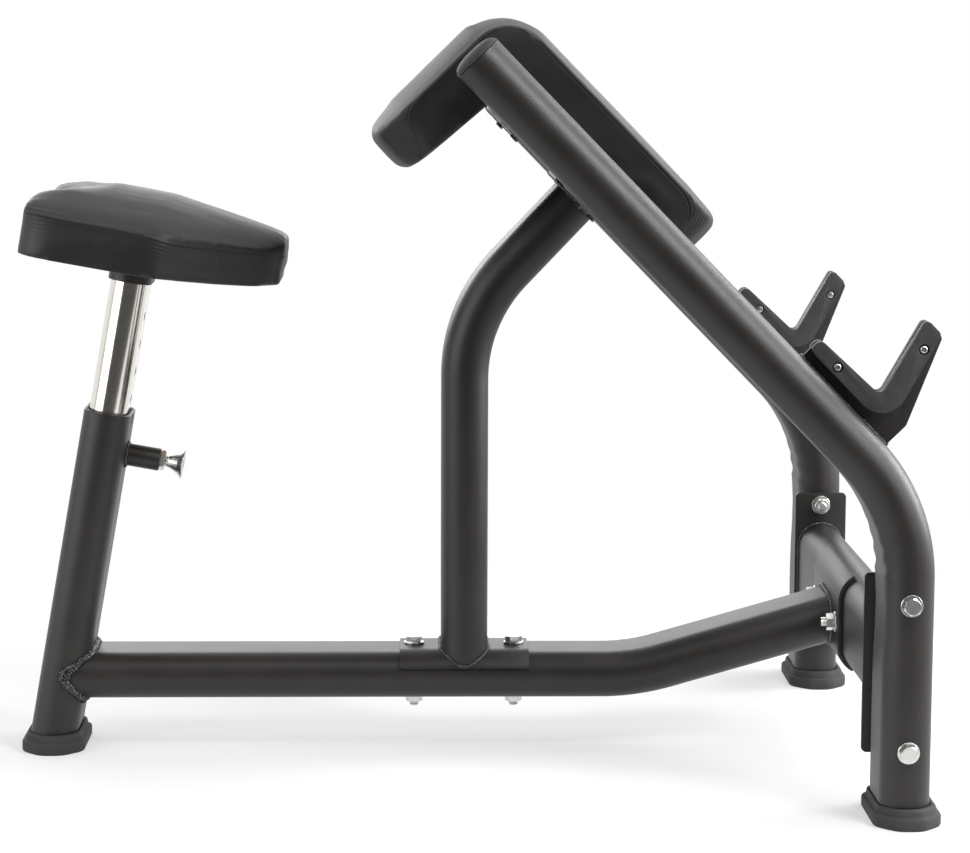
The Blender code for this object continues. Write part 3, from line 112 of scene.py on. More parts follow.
@dataclass(frozen=True)
class Layout:
    """Driving sizes that the sub-assemblies share."""

    thick: float = 0.060
    wide: float = 0.120
    wall: float = 0.003
    side_y: float = 0.3713
    leg_x: float = 0.5197
    leg_corner_z: float = 0.3749
    slope: float = math.radians(45.7)
    middle_x: float = 0.0093
    beam_z: float = 0.0975
    front_x: float = -0.5255
    lean: float = math.radians(10.1)
    cross_z: float = 0.1785
    cross_half: float = 0.3044
    foot_z: float = 0.0063
    saddle_thick: float = 0.0055
    pad_seat: float = 0.0115
    pin_z: float = 0.3925
    nut_end: float = 0.081
    seat_low: float = 0.640

    @property
    def radius(self) -> float:
        """Radius of the tube's round sides."""
        return self.thick / 2

    @property
    def flat(self) -> float:
        """Half of the tube's flat run."""
        return (self.wide - self.thick) / 2

    @property
    def cross_x(self) -> float:
        """X of the cross member's middle and of the leg bolts."""
        return self.leg_x - 1.0 * MM

    def bulge(self, level: float, grow: float) -> float:
        """Reach of a tube's side from its middle plane, at a level along that plane, grown by a distance."""
        inset, radius = max(0.0, abs(level) - self.flat), self.radius + grow
        return math.sqrt(max(0.0, radius**2 - inset**2))

    def slope_frame(self, y: float = 0.0) -> Matrix:
        """Frame of the side tubes' slope: local X runs down it and local Z stands on it."""
        return shifted(self.leg_x, y, self.leg_corner_z) @ rotated(self.slope, "Y")

    def post_frame(self, height: float = 0.0) -> Matrix:
        """Frame of the seat post: local Z runs up it and local X points to the arm pad."""
        place = shifted(self.front_x, 0.0, 0.0) @ rotated(self.lean, "Y")
        return place @ shifted(0.0, 0.0, height)


BENCH = Layout()


# Shader graph


class Value:
    """A shader number: Python operators on it add Math nodes."""

    def __init__(self, graph: Graph, socket: bpy.types.NodeSocket) -> None:
        """Wrap an output socket of a graph."""
        self.graph = graph
        self.socket = socket

    def _math(self, operation: str, first: object, second: object = None) -> Value:
        """Add one Math node.

        Args:
            operation: The node's operation.
            first: First operand, a number or a Value.
            second: Second operand, or None for a node with one input.

        Returns:
            The node's result.
        """
        inputs = {0: first} if second is None else {0: first, 1: second}
        return self.graph.value("ShaderNodeMath", inputs, operation=operation)

    def __add__(self, other: object) -> Value:
        """Sum."""
        return self._math("ADD", self, other)

    __radd__ = __add__

    def __sub__(self, other: object) -> Value:
        """Difference."""
        return self._math("SUBTRACT", self, other)

    def __rsub__(self, other: object) -> Value:
        """Reflected difference."""
        return self._math("SUBTRACT", other, self)

    def __mul__(self, other: object) -> Value:
        """Product."""
        return self._math("MULTIPLY", self, other)

    __rmul__ = __mul__

    def cosine(self) -> Value:
        """Cosine of an angle in radians."""
        return self._math("COSINE", self)

    def size(self) -> Value:
        """Absolute value."""
        return self._math("ABSOLUTE", self)

    def clamped(self) -> Value:
        """Value held between 0 and 1."""
        return self.ramp(0.0, 1.0)

    def ramp(self, low: float, high: float) -> Value:
        """Smooth step from 0 at low to 1 at high."""
        inputs = {"Value": self, "From Min": low, "From Max": high}
        return self.graph.value("ShaderNodeMapRange", inputs, interpolation_type="SMOOTHSTEP")

    def line(self, centre: float, width: float) -> Value:
        """1 on a line at a value, falling to 0 at a width from it."""
        return 1.0 - (self - centre).size().ramp(0.0, width)


def usable(sockets: Iterable[bpy.types.NodeSocket], name: object = None) -> bpy.types.NodeSocket:
    """First enabled socket, or the first one of a name."""
    return next(socket for socket in sockets if socket.enabled and name in (None, socket.name))


class Graph:
    """Node tree of a material, a world or a geometry group."""

    def __init__(self, tree: bpy.types.NodeTree) -> None:
        """Start from an emptied tree."""
        self.tree = tree
        tree.nodes.clear()

    def node(self, kind: str, inputs: Given | None = None, **settings: object) -> bpy.types.Node:
        """Add a node.

        Args:
            kind: Node type.
            inputs: What its inputs get, as feed takes them.
            settings: Properties of the node, set first.

        Returns:
            The new node.
        """
        made = self.tree.nodes.new(kind)
        for key, setting in settings.items():
            setattr(made, key, setting)
        return self.feed(made, inputs or {})

    def feed(self, made: bpy.types.Node, inputs: Given) -> bpy.types.Node:
        """Set or link a node's inputs.

        Args:
            made: The node.
            inputs: Numbers, colours, Values, sockets or nodes, by input name or index.

        Returns:
            The same node.
        """
        for key, given in inputs.items():
            socket = made.inputs[key] if isinstance(key, int) else usable(made.inputs, key)
            if isinstance(given, Value):
                given = given.socket
            elif isinstance(given, bpy.types.Node):
                given = given.outputs[0]
            if isinstance(given, bpy.types.NodeSocket):
                self.tree.links.new(given, socket)
            else:
                socket.default_value = given
        return made

    def value(self, kind: str, inputs: Given, **settings: object) -> Value:
        """Add a node and wrap its first enabled output."""
        return Value(self, usable(self.node(kind, inputs, **settings).outputs))

    def attribute(self, name: str) -> Value:
        """Number stored on the mesh's points."""
        return Value(self, self.node("ShaderNodeAttribute", attribute_name=name).outputs["Fac"])

    def ray(self, *kinds: str) -> Value:
        """Sum of the flags of some kinds of ray, such as Camera."""
        path = self.node("ShaderNodeLightPath")
        first, *others = [Value(self, path.outputs["Is " + kind + " Ray"]) for kind in kinds]
        return sum(others, first)

    def place(self, stretch: tuple[float, float, float] = (1.0, 1.0, 1.0)) -> bpy.types.NodeSocket:
        """Object coordinates, scaled per axis."""
        source = self.node("ShaderNodeTexCoord").outputs["Object"]
        return self.node("ShaderNodeMapping", {"Vector": source, "Scale": stretch}).outputs["Vector"]

    def noise(self, where: bpy.types.NodeSocket, size: float, detail: float = 2.0) -> Value:
        """Noise between 0 and 1 with features of a size in metres."""
        inputs = {"Vector": where, "Scale": 1.0 / size, "Detail": detail, "Roughness": 0.55}
        return self.value("ShaderNodeTexNoise", inputs)

    def cells(self, where: bpy.types.NodeSocket, size: float) -> Value:
        """Distance to the nearest cell centre, for cells of a size in metres."""
        return self.value("ShaderNodeTexVoronoi", {"Vector": where, "Scale": 1.0 / size})

    def mixed(self, factor: object, first: object, second: object) -> bpy.types.NodeSocket:
        """Blend two colours."""
        inputs = {"Factor": factor, "A": first, "B": second}
        return self.value("ShaderNodeMix", inputs, data_type="RGBA").socket

    def bump(
        self, height: Value, distance: float, strength: float = 1.0, **under: object
    ) -> bpy.types.NodeSocket:
        """Normal that follows a height.

        Args:
            height: The height.
            distance: Length in metres of one unit of the height.
            strength: Share of the relief that shows.
            under: Normal of a relief that lies under this one, if any.

        Returns:
            The normal.
        """
        inputs = {"Height": height, "Distance": distance, "Strength": strength, **under}
        return self.node("ShaderNodeBump", inputs).outputs["Normal"]

    def skin(self, shader: bpy.types.Node, base: object, rough: Value, normal: object) -> None:
        """Feed a shader's colour, roughness and normal."""
        self.feed(shader, {"Base Color": base, "Roughness": rough, "Normal": normal})


def tone(colour: Sequence[float], factor: float = 1.0) -> tuple[float, float, float, float]:
    """Colour with alpha, made lighter or darker by a factor."""
    return (colour[0] * factor, colour[1] * factor, colour[2] * factor, 1.0)


WHITE = tone((1.0, 1.0, 1.0))


# Finishes


@dataclass(frozen=True)
class Finish:
    """A material: its name, a slot that is not used, and its plain colour and gloss."""

    name: str
    slot: str
    colour: tuple[float, float, float]
    roughness: float
    metallic: float = 0.0
    coat: float = 0.0
    specular: float = 0.5

    def material(self) -> bpy.types.Material:
        """The material, made at its first use."""
        known = bpy.data.materials.get(self.name)
        if known is not None:
            return known
        material = bpy.data.materials.new(self.name)
        material.use_nodes = True
        graph = Graph(material.node_tree)
        plain = {"Metallic": self.metallic, "Coat Weight": self.coat, "Coat Roughness": 0.25}
        plain["Specular IOR Level"] = self.specular
        shader = graph.node("ShaderNodeBsdfPrincipled", plain)
        self.paint(graph, shader)
        graph.node("ShaderNodeOutputMaterial", {"Surface": shader})
        material.diffuse_color = tone(self.colour)
        return material

    def paint(self, graph: Graph, shader: bpy.types.Node) -> None:
        """Feed the shader with the finish's detail."""
        raise NotImplementedError


@dataclass(frozen=True)
class PowderCoat(Finish):
    """Baked powder paint with a fine sandy texture."""

    grain: float = 1.4 * MM
    relief: float = 0.20 * MM

    def paint(self, graph: Graph, shader: bpy.types.Node) -> None:
        """Sandy grain, faint cloudiness and a few dust specks under the paint."""
        where = graph.place()
        sand = graph.noise(where, self.grain, 3.0)
        fine = graph.noise(where, self.grain * 0.4, 1.0)
        cloud = graph.noise(where, 60 * MM, 2.0)
        speck = 1.0 - graph.cells(where, 22 * MM).ramp(0.02, 0.055)
        shade = (sand * 0.5 + cloud * 0.5).ramp(0.30, 0.70)
        base = graph.mixed(shade, tone(self.colour, 0.72), tone(self.colour, 1.30))
        base = graph.mixed(speck * 0.35, base, tone(self.colour, 3.0))
        rough = fine * 0.10 + cloud * 0.06 + (self.roughness - 0.08)
        height = sand * 0.7 + fine * 0.3 + speck * 1.2
        graph.skin(shader, base, rough, graph.bump(height, self.relief))


@dataclass(frozen=True)
class Plated(Finish):
    """Plated or bare metal with fine drawn lines."""

    streak: tuple[float, float, float] = (1.0, 1.0, 1.0)
    spread: float = 0.06

    def paint(self, graph: Graph, shader: bpy.types.Node) -> None:
        """Clouded gloss and fine lines along the stretched axis."""
        cloud = graph.noise(graph.place(), 9 * MM, 3.0)
        lines = graph.noise(graph.place(self.streak), 0.9 * MM, 2.0)
        base = graph.mixed(cloud, tone(self.colour, 0.90), tone(self.colour, 1.08))
        rough = cloud * self.spread + lines * self.spread + (self.roughness - self.spread)
        graph.skin(shader, base, rough, graph.bump(lines, 0.02 * MM, 0.5))


@dataclass(frozen=True)
class Moulded(Finish):
    """Moulded rubber or plastic with a spark-eroded grain."""

    grain: float = 0.9 * MM
    relief: float = 0.05 * MM
    dust: float = 0.10

    def paint(self, graph: Graph, shader: bpy.types.Node) -> None:
        """Fine grain, a dusty bloom and flow marks."""
        where = graph.place()
        grain = graph.noise(where, self.grain, 2.0)
        bloom = graph.noise(where, 25 * MM, 4.0)
        dust = bloom.ramp(0.35, 0.75) * self.dust * 4.0
        base = graph.mixed(dust, tone(self.colour), tone(self.colour, 1.9))
        rough = grain * 0.12 + bloom * 0.10 + (self.roughness - 0.11)
        graph.skin(shader, base, rough, graph.bump(grain, self.relief))


@dataclass(frozen=True)
class Vinyl(Finish):
    """Upholstery vinyl: pebbled grain, sewn seams and pleats that the mesh's own values place.

    The mesh stores seam_mm, the distance from the seam, and pleat, the strength of the gathers.
    """

    seams: tuple[float, ...] = (-0.7,)
    groove: float = 0.9
    pleat_pitch: float = 5.0

    def paint(self, graph: Graph, shader: bpy.types.Node) -> None:
        """Grain, soft sheen streaks, seam grooves darkened with painted shade, and gathers."""
        where = graph.place()
        pebble = graph.cells(where, 1.2 * MM)
        grain = graph.noise(where, 0.9 * MM, 2.0)
        sweep = graph.noise(graph.place((0.35, 1.6, 1.6)), 42 * MM, 4.0)
        cloud = graph.noise(where, 120 * MM, 2.0)
        seam_mm = graph.attribute("seam_mm")
        pleat = graph.attribute("pleat")
        lines = seam_mm.line(self.seams[0], self.groove)
        for place in self.seams[1:]:
            lines = lines + seam_mm.line(place, self.groove * 0.75) * 0.55
        lines = lines.clamped()
        wave = (seam_mm * (2 * math.pi / self.pleat_pitch) + sweep * 9.0).cosine() * 0.5 + 0.5
        fold = wave * wave * pleat
        base = graph.mixed(sweep.ramp(0.3, 0.75), tone(self.colour, 0.85), tone(self.colour, 1.25))
        # Painted shade: the colour is darkened along the seam grooves and the fold line beside them.
        base = graph.mixed(lines * 0.85, base, tone(self.colour, 0.22))
        rough = sweep * 0.16 + cloud * 0.10 + lines * 0.25 + (self.roughness - 0.13)
        skin = graph.bump(pebble * 0.5 + grain * 0.5, 0.03 * MM, 0.5)
        folds = graph.bump(fold * 0.45 - lines * 0.9, 1.0 * MM, Normal=skin)
        graph.skin(shader, base, rough, folds)


@dataclass(frozen=True)
class Plywood(Finish):
    """Birch plywood: long grain on the faces and dark glue lines on the edges."""

    def paint(self, graph: Graph, shader: bpy.types.Node) -> None:
        """Stretched grain and ring figure."""
        figure = graph.noise(graph.place((1.0, 0.08, 1.0)), 5 * MM, 5.0)
        broad = graph.noise(graph.place((1.0, 0.12, 1.0)), 40 * MM, 3.0)
        shade = (figure * 0.6 + broad * 0.4).ramp(0.3, 0.7)
        base = graph.mixed(shade, tone(self.colour, 0.72), tone(self.colour))
        rough = figure * 0.15 + (self.roughness - 0.07)
        graph.skin(shader, base, rough, graph.bump(figure, 0.15 * MM))


class Finishes:
    """Every finish on the bench."""

    POWDER = PowderCoat("black_powder_coat", "powder_coat", (0.0120, 0.0103, 0.0091), 0.44)
    # The weld's coat colour is a little lighter than the plain coat's: painted sheen for its smoother gloss,
    # beside its real lower roughness and higher specular.
    WELD = PowderCoat(
        "powder_coat_on_weld", "powder_coat", (0.0130, 0.0114, 0.0102), 0.24,
        specular=0.8, grain=1.6 * MM, relief=0.40 * MM,
    )
    # Painted reflection: the warm cream colour tints the chrome's reflections as a tan surround would; bare
    # chrome is close to neutral.
    CHROME = Plated(
        "chrome_plate", "chrome", (0.79, 0.755, 0.70), 0.15, 1.0, streak=(1.0, 1.0, 0.02), spread=0.03
    )
    ZINC = Plated("bright_zinc_plate", "zinc_steel", (0.66, 0.67, 0.65), 0.27, 1.0)
    BLACK_BOLT = Plated("black_oxide_steel", "black_bolt_steel", (0.10, 0.10, 0.10), 0.38, 0.7)
    SPRING = Plated("bright_spring_steel", "spring_steel", (0.55, 0.55, 0.54), 0.28, 1.0)
    RUBBER = Moulded("foot_rubber", "foot_rubber", (0.0195, 0.0180, 0.0165), 0.43, dust=0.12)
    GUARD = Moulded(
        "guard_plastic", "liner_plastic", (0.030, 0.029, 0.028), 0.56,
        specular=0.36, grain=1.3 * MM, relief=0.04 * MM,
    )
    PLUG = Moulded("plug_plastic", "plug_plastic", (0.030, 0.030, 0.031), 0.50, dust=0.05)
    PAD_VINYL = Vinyl(
        "arm_pad_vinyl", "cushion_vinyl", (0.0125, 0.0122, 0.0119), 0.58,
        specular=0.33, seams=(-0.7, 4.4), groove=1.15,
    )
    SEAT_VINYL = Vinyl("seat_vinyl", "cushion_vinyl", (0.0082, 0.0080, 0.0078), 0.51, specular=0.44)
    PLYWOOD = Plywood("birch_plywood", "plywood", (0.55, 0.41, 0.26), 0.62)


# Mesh making


def outward(mesh: Mesh) -> Mesh:
    """Merge doubled corners and point every face outward."""
    shape = bmesh.new()
    shape.from_mesh(mesh)
    bmesh.ops.remove_doubles(shape, verts=shape.verts, dist=0.00001)
    bmesh.ops.recalc_face_normals(shape, faces=shape.faces)
    shape.to_mesh(mesh)
    shape.free()
    return mesh


def loft(rings: Sequence[Ring], ends: Ends = Ends.CAPPED) -> Mesh:
    """Skin over closed rings of equal count.

    Args:
        rings: Loops of points, in order.
        ends: How the first and last rings are closed.

    Returns:
        The mesh, with its faces outward.
    """
    count = len(rings[0])
    corners = [corner for ring in rings for corner in ring]
    spans = len(rings) if ends is Ends.JOINED else len(rings) - 1
    faces: list[tuple[int, ...]] = []
    for index in range(spans):
        base = index * count
        over = ((index + 1) % len(rings)) * count
        for step in range(count):
            after = (step + 1) % count
            faces.append((base + step, base + after, over + after, over + step))
    if ends is Ends.CAPPED:
        faces.append(tuple(range(count))[::-1])
        faces.append(tuple(range(len(corners) - count, len(corners))))
    mesh = bpy.data.meshes.new("loft")
    mesh.from_pydata(corners, [], faces)
    return outward(mesh)


def evaluated(item: bpy.types.Object) -> Mesh:
    """Finished mesh of an object, which is removed."""
    bpy.context.view_layer.update()
    graph = bpy.context.evaluated_depsgraph_get()
    mesh = bpy.data.meshes.new_from_object(item.evaluated_get(graph))
    bpy.data.objects.remove(item, do_unlink=True)
    return mesh


def linked(data: bpy.types.ID, name: str = "work") -> bpy.types.Object:
    """New object in the scene with some data."""
    item = bpy.data.objects.new(name, data)
    bpy.context.scene.collection.objects.link(item)
    return item


def prism(outlines: Sequence[Outline], low: float, high: float, axis: Axis = Axis.Z) -> Mesh:
    """Flat outlines extruded between two values on an axis.

    Args:
        outlines: Closed outlines; a second one inside the first is a hole.
        low: Lower end on the axis.
        high: Upper end on the axis.
        axis: Z takes (x, y) points, Y takes (x, z) and X takes (y, z).

    Returns:
        The mesh.
    """
    data = bpy.data.curves.new("outline", "CURVE")
    data.dimensions = "2D"
    data.fill_mode = "BOTH"
    data.extrude = (high - low) / 2
    for points in outlines:
        spline = data.splines.new("POLY")
        spline.points.add(len(points) - 1)
        for place, point in zip(spline.points, points):
            place.co = (point[0], point[1], 0.0, 1.0)
        spline.use_cyclic_u = True
    mesh = evaluated(linked(data))
    turns = {
        Axis.Z: Matrix.Identity(4),
        Axis.Y: rotated(math.pi / 2, "X"),
        Axis.X: Matrix(((0, 0, 1, 0), (1, 0, 0, 0), (0, 1, 0, 0), (0, 0, 0, 1))),
    }
    middle = Vector((0.0, 0.0, 0.0))
    middle["XYZ".index(axis.value)] = (low + high) / 2
    mesh.transform(Matrix.Translation(middle) @ turns[axis])
    return outward(mesh)


def swing(start: float, end: float, steps: int) -> list[float]:
    """Evenly spaced values from start to end, both included."""
    return [start + (end - start) * step / steps for step in range(steps + 1)]


def around(steps: int) -> list[float]:
    """Evenly spaced angles of a full turn."""
    return swing(0.0, 2 * math.pi, steps)[:-1]


def turned(profile: Sequence[Point], steps: int = 48, axis: Axis = Axis.Z) -> Mesh:
    """Turn a profile about an axis, closed at its ends.

    Args:
        profile: (radius, height) pairs; one that ends where it starts gives a hollow ring.
        steps: Sides of the turned shape.
        axis: Axis that the heights run along.

    Returns:
        The mesh.
    """
    rings = [[Vector((r * math.cos(a), r * math.sin(a), h)) for a in around(steps)] for r, h in profile]
    hollow = profile[0][0] > 0.01 * MM and profile[0] == profile[-1]
    mesh = loft(rings[:-1] if hollow else rings, Ends.JOINED if hollow else Ends.CAPPED)
    if axis is not Axis.Z:
        mesh.transform(rotated(math.pi / 2, "Y") if axis is Axis.X else rotated(-math.pi / 2, "X"))
    return mesh


def rod(radius: float, low: float, high: float, steps: int, axis: Axis = Axis.Z) -> Mesh:
    """Solid cylinder between two values on an axis."""
    return turned([(0.0, low), (radius, low), (radius, high), (0.0, high)], steps, axis)


def oval(short: float, long: float, steps: int = 24) -> Outline:
    """Outline of a flat oval, long along its second axis."""
    radius, flat = short / 2, (long - short) / 2
    points = []
    for side in (1, -1):
        for angle in swing(0.0, math.pi, steps):
            points.append((side * radius * math.cos(angle), side * (flat + radius * math.sin(angle))))
    return points


def oval_ring(short: float, long: float, height: float) -> Ring:
    """Points of a flat oval at a height."""
    return [Vector((first, second, height)) for first, second in oval(short, long)]


def fillet(before: Point, corner: Point, after: Point, radius: float) -> tuple[Vector, Vector, Vector]:
    """Round one corner.

    Args:
        before: Point before the corner.
        corner: The corner.
        after: Point after the corner.
        radius: Radius of the rounding.

    Returns:
        The arc's centre, and its first and last points as seen from that centre.
    """
    spot = Vector(corner)
    inward = (Vector(before) - spot).normalized()
    onward = (Vector(after) - spot).normalized()
    half = inward.angle(onward) / 2
    reach = radius / math.tan(half)
    centre = spot + (inward + onward).normalized() * (radius / math.sin(half))
    return centre, spot + inward * reach - centre, spot + onward * reach - centre


def rounded(points: Sequence[Point], radii: Sequence[float], steps: int = 8) -> Outline:
    """Round the corners of a polygon.

    Args:
        points: The polygon.
        radii: One radius for each corner, 0 to leave it sharp.
        steps: Spans of each arc.

    Returns:
        The rounded outline.
    """
    result: Outline = []
    for index, (point, radius) in enumerate(zip(points, radii)):
        if radius <= 0.0:
            result.append(tuple(point))
            continue
        centre, first, last = fillet(points[index - 1], point, points[(index + 1) % len(points)], radius)
        for angle in swing(0.0, -first.angle_signed(last), steps):
            result.append(tuple(centre + Matrix.Rotation(angle, 2) @ first))
    return result


def box_outline(wide: float, tall: float, radius: float) -> Outline:
    """Rectangle of two half sizes about the origin, with rounded corners."""
    return rounded([(wide, tall), (-wide, tall), (-wide, -tall), (wide, -tall)], [radius] * 4)


def radial(outline: Outline, count: int = 96) -> Outline:
    """Resample a star-shaped outline at equal angles about its own centre."""
    points = np.array(outline)
    span = np.roll(points, -1, axis=0) - points
    result = []
    for angle in around(count):
        way = np.array((math.cos(angle), math.sin(angle)))
        cross = way[0] * span[:, 1] - way[1] * span[:, 0]
        cross = np.where(np.abs(cross) < 1e-12, 1e-12, cross)
        reach = (points[:, 0] * span[:, 1] - points[:, 1] * span[:, 0]) / cross
        share = (points[:, 0] * way[1] - points[:, 1] * way[0]) / cross
        good = (share > -1e-6) & (share < 1 + 1e-6) & (reach > 0)
        result.append(tuple(way * reach[good].max()))
    return result


def placed(mesh: Mesh, place: Matrix) -> Mesh:
    """A mesh, moved by a matrix."""
    mesh.transform(place)
    return mesh


def cut(mesh: Mesh, cutters: Iterable[Mesh], operation: str = "DIFFERENCE") -> Mesh:
    """Combine a mesh with cutting shapes.

    Args:
        mesh: The mesh.
        cutters: Closed shapes.
        operation: DIFFERENCE takes them out, INTERSECT keeps what lies in them.

    Returns:
        The new mesh.
    """
    item = linked(mesh)
    tools = []
    for index, cutter in enumerate(cutters):
        tool = linked(cutter, "cutter_" + str(index))
        step = item.modifiers.new("cut_" + str(index), "BOOLEAN")
        step.operation = operation
        step.solver = "EXACT"
        step.object = tool
        tools.append(tool)
    result = evaluated(item)
    for tool in tools:
        bpy.data.objects.remove(tool, do_unlink=True)
    return result


def bevelled(mesh: Mesh, width: float, segments: int = 3, angle: float = 35.0) -> Mesh:
    """Round a mesh's sharper edges."""
    item = linked(mesh)
    step = item.modifiers.new("bevel", "BEVEL")
    step.width = width
    step.segments = segments
    step.limit_method = "ANGLE"
    step.angle_limit = math.radians(angle)
    step.harden_normals = False
    return evaluated(item)


def block(low: Sequence[float], high: Sequence[float]) -> Mesh:
    """Plain block between two corners."""
    shape = bmesh.new()
    bmesh.ops.create_cube(shape, size=1.0)
    size = Vector(high) - Vector(low)
    place = Matrix.Translation((Vector(high) + Vector(low)) / 2) @ Matrix.Diagonal((*size, 1.0))
    bmesh.ops.transform(shape, matrix=place, verts=shape.verts)
    mesh = bpy.data.meshes.new("block")
    shape.to_mesh(mesh)
    shape.free()
    return mesh


def joined(meshes: Sequence[Mesh]) -> Mesh:
    """One mesh of several that stay separate shells."""
    shape = bmesh.new()
    for mesh in meshes:
        shape.from_mesh(mesh)
    result = bpy.data.meshes.new("joined")
    shape.to_mesh(result)
    shape.free()
    return result


def put(
    name: str,
    mesh: Mesh,
    finish: Finish,
    stands_for: Sequence[str] = (),
    place: Matrix | None = None,
    sharp: float = 35.0,
    body: Body = Body.FRAME,
) -> bpy.types.Object:
    """Put a finished mesh on its body.

    Args:
        name: Name of the piece.
        mesh: Mesh in its own frame.
        finish: Its material.
        stands_for: CAD nodes that it replaces.
        place: Frame of the mesh, applied to its points.
        sharp: Angle in degrees above which an edge stays sharp.
        body: Body that it rides.

    Returns:
        The new object.
    """
    if place is not None:
        mesh.transform(place)
    for face in mesh.polygons:
        face.use_smooth = True
    mesh.set_sharp_from_angle(angle=math.radians(sharp))
    mesh.materials.clear()
    mesh.materials.append(finish.material())
    item = linked(mesh, name)
    mesh.name = name
    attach(item, body.value)
    if stands_for:
        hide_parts(*stands_for)
    LOG.info("%s: %d faces in %s", name, len(mesh.polygons), finish.name)
    return item


def dress_node(name: str, finish: Finish) -> None:
    """Give a CAD node that stays its finish."""
    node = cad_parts[name]
    node.data.materials.clear()
    node.data.materials.append(finish.material())
    LOG.info("%s stays, in %s", name, finish.name)


# Tubes


@dataclass(frozen=True)
class Station:
    """A place on a tube's centre line: point, direction and distance from the start."""

    point: Vector
    along: Vector
    distance: float


@dataclass(frozen=True)
class Ripples:
    """Small wrinkles that bending leaves on a tube's inner side."""

    centre: float
    reach: float
    pitch: float
    depth: float
    inner: float = -1.0

    def depth_at(self, distance: float, across: float) -> float:
        """Inward shift at a distance along the tube and a share across its thickness."""
        facing = max(0.0, self.inner * across)
        window = math.exp(-(((distance - self.centre) / self.reach) ** 2))
        wave = 0.5 + 0.5 * math.cos(2 * math.pi * (distance - self.centre) / self.pitch)
        return self.depth * facing * facing * window * wave


def route(points: Sequence[Point], radius: float, fine: float, coarse: float = 0.03) -> list[Station]:
    """Centre line in the XZ plane through rounded corners.

    Args:
        points: Corners, with the two ends.
        radius: Radius of the rounding.
        fine: Step along the arcs.
        coarse: Step along the straight runs.

    Returns:
        The stations, in order.
    """
    line: list[Vector] = []

    def run(start: Vector, end: Vector) -> None:
        """Add a straight run's points, without its last."""
        count = max(1, int((end - start).length / coarse))
        line.extend(start.lerp(end, index / count) for index in range(count))

    reached = Vector(points[0])
    for before, corner, after in zip(points, points[1:], points[2:]):
        centre, first, last = fillet(before, corner, after, radius)
        run(reached, centre + first)
        total = first.angle(last)
        count = int(total * radius / fine)
        for index in range(count):
            share = index / count
            mixed = first * math.sin((1 - share) * total) + last * math.sin(share * total)
            line.append(centre + mixed / math.sin(total))
        reached = centre + last
    run(reached, Vector(points[-1]))
    line.append(Vector(points[-1]))
    stations = []
    distance = 0.0
    for index, point in enumerate(line):
        back, ahead = line[max(index - 1, 0)], line[min(index + 1, len(line) - 1)]
        distance += (point - back).length
        way = (ahead - back).normalized()
        stations.append(Station(Vector((point.x, 0.0, point.y)), Vector((way.x, 0.0, way.y)), distance))
    return stations


def upright(low: float, high: float, count: int) -> list[Station]:
    """Straight centre line along Z between two heights."""
    up = Vector((0.0, 0.0, 1.0))
    return [Station(up * height, up, 0.0) for height in swing(low, high, count)]


@dataclass
class Tube:
    """Flat-oval tube along a centre line, with its wall, and its ends cut to what they meet."""

    stations: list[Station]
    thick: float = BENCH.thick
    wide: float = BENCH.wide
    wall: float = BENCH.wall
    ripples: Sequence[Ripples] = ()
    start_cut: Callable[[Vector], Vector] | None = None
    end_cut: Callable[[Vector], Vector] | None = None
    edge: float = 0.6 * MM

    def _ring(self, station: Station, inset: float) -> Ring:
        """Outline at a station, drawn in by an inset."""
        normal = Vector((0.0, 1.0, 0.0)).cross(station.along)
        ring = []
        for first, second in oval(self.thick - 2 * inset, self.wide - 2 * inset):
            across = first / (self.thick / 2)
            for ripple in self.ripples:
                first -= math.copysign(ripple.depth_at(station.distance, across), first)
            ring.append(station.point + normal * first + Vector((0.0, second, 0.0)))
        return ring

    def mesh(self) -> Mesh:
        """Closed skin of the tube's outside and bore."""
        start, end = self.stations[0], self.stations[-1]
        near = Station(start.point + start.along * self.edge, start.along, 0.0)
        last = Station(end.point - end.along * self.edge, end.along, end.distance)
        outer = [self._ring(start, self.edge), self._ring(near, 0.0)]
        outer += [self._ring(station, 0.0) for station in self.stations[1:-1]]
        outer += [self._ring(last, 0.0), self._ring(end, self.edge)]
        bore = [self._ring(station, self.wall) for station in self.stations]
        for to_face, ends in (
            (self.start_cut, ((outer, 0), (outer, 1), (bore, 0))),
            (self.end_cut, ((outer, -1), (outer, -2), (bore, -1))),
        ):
            if to_face is not None:
                for rings, index in ends:
                    rings[index] = [to_face(corner) for corner in rings[index]]
        return loft(outer + bore[::-1], Ends.JOINED)


# Weld beads


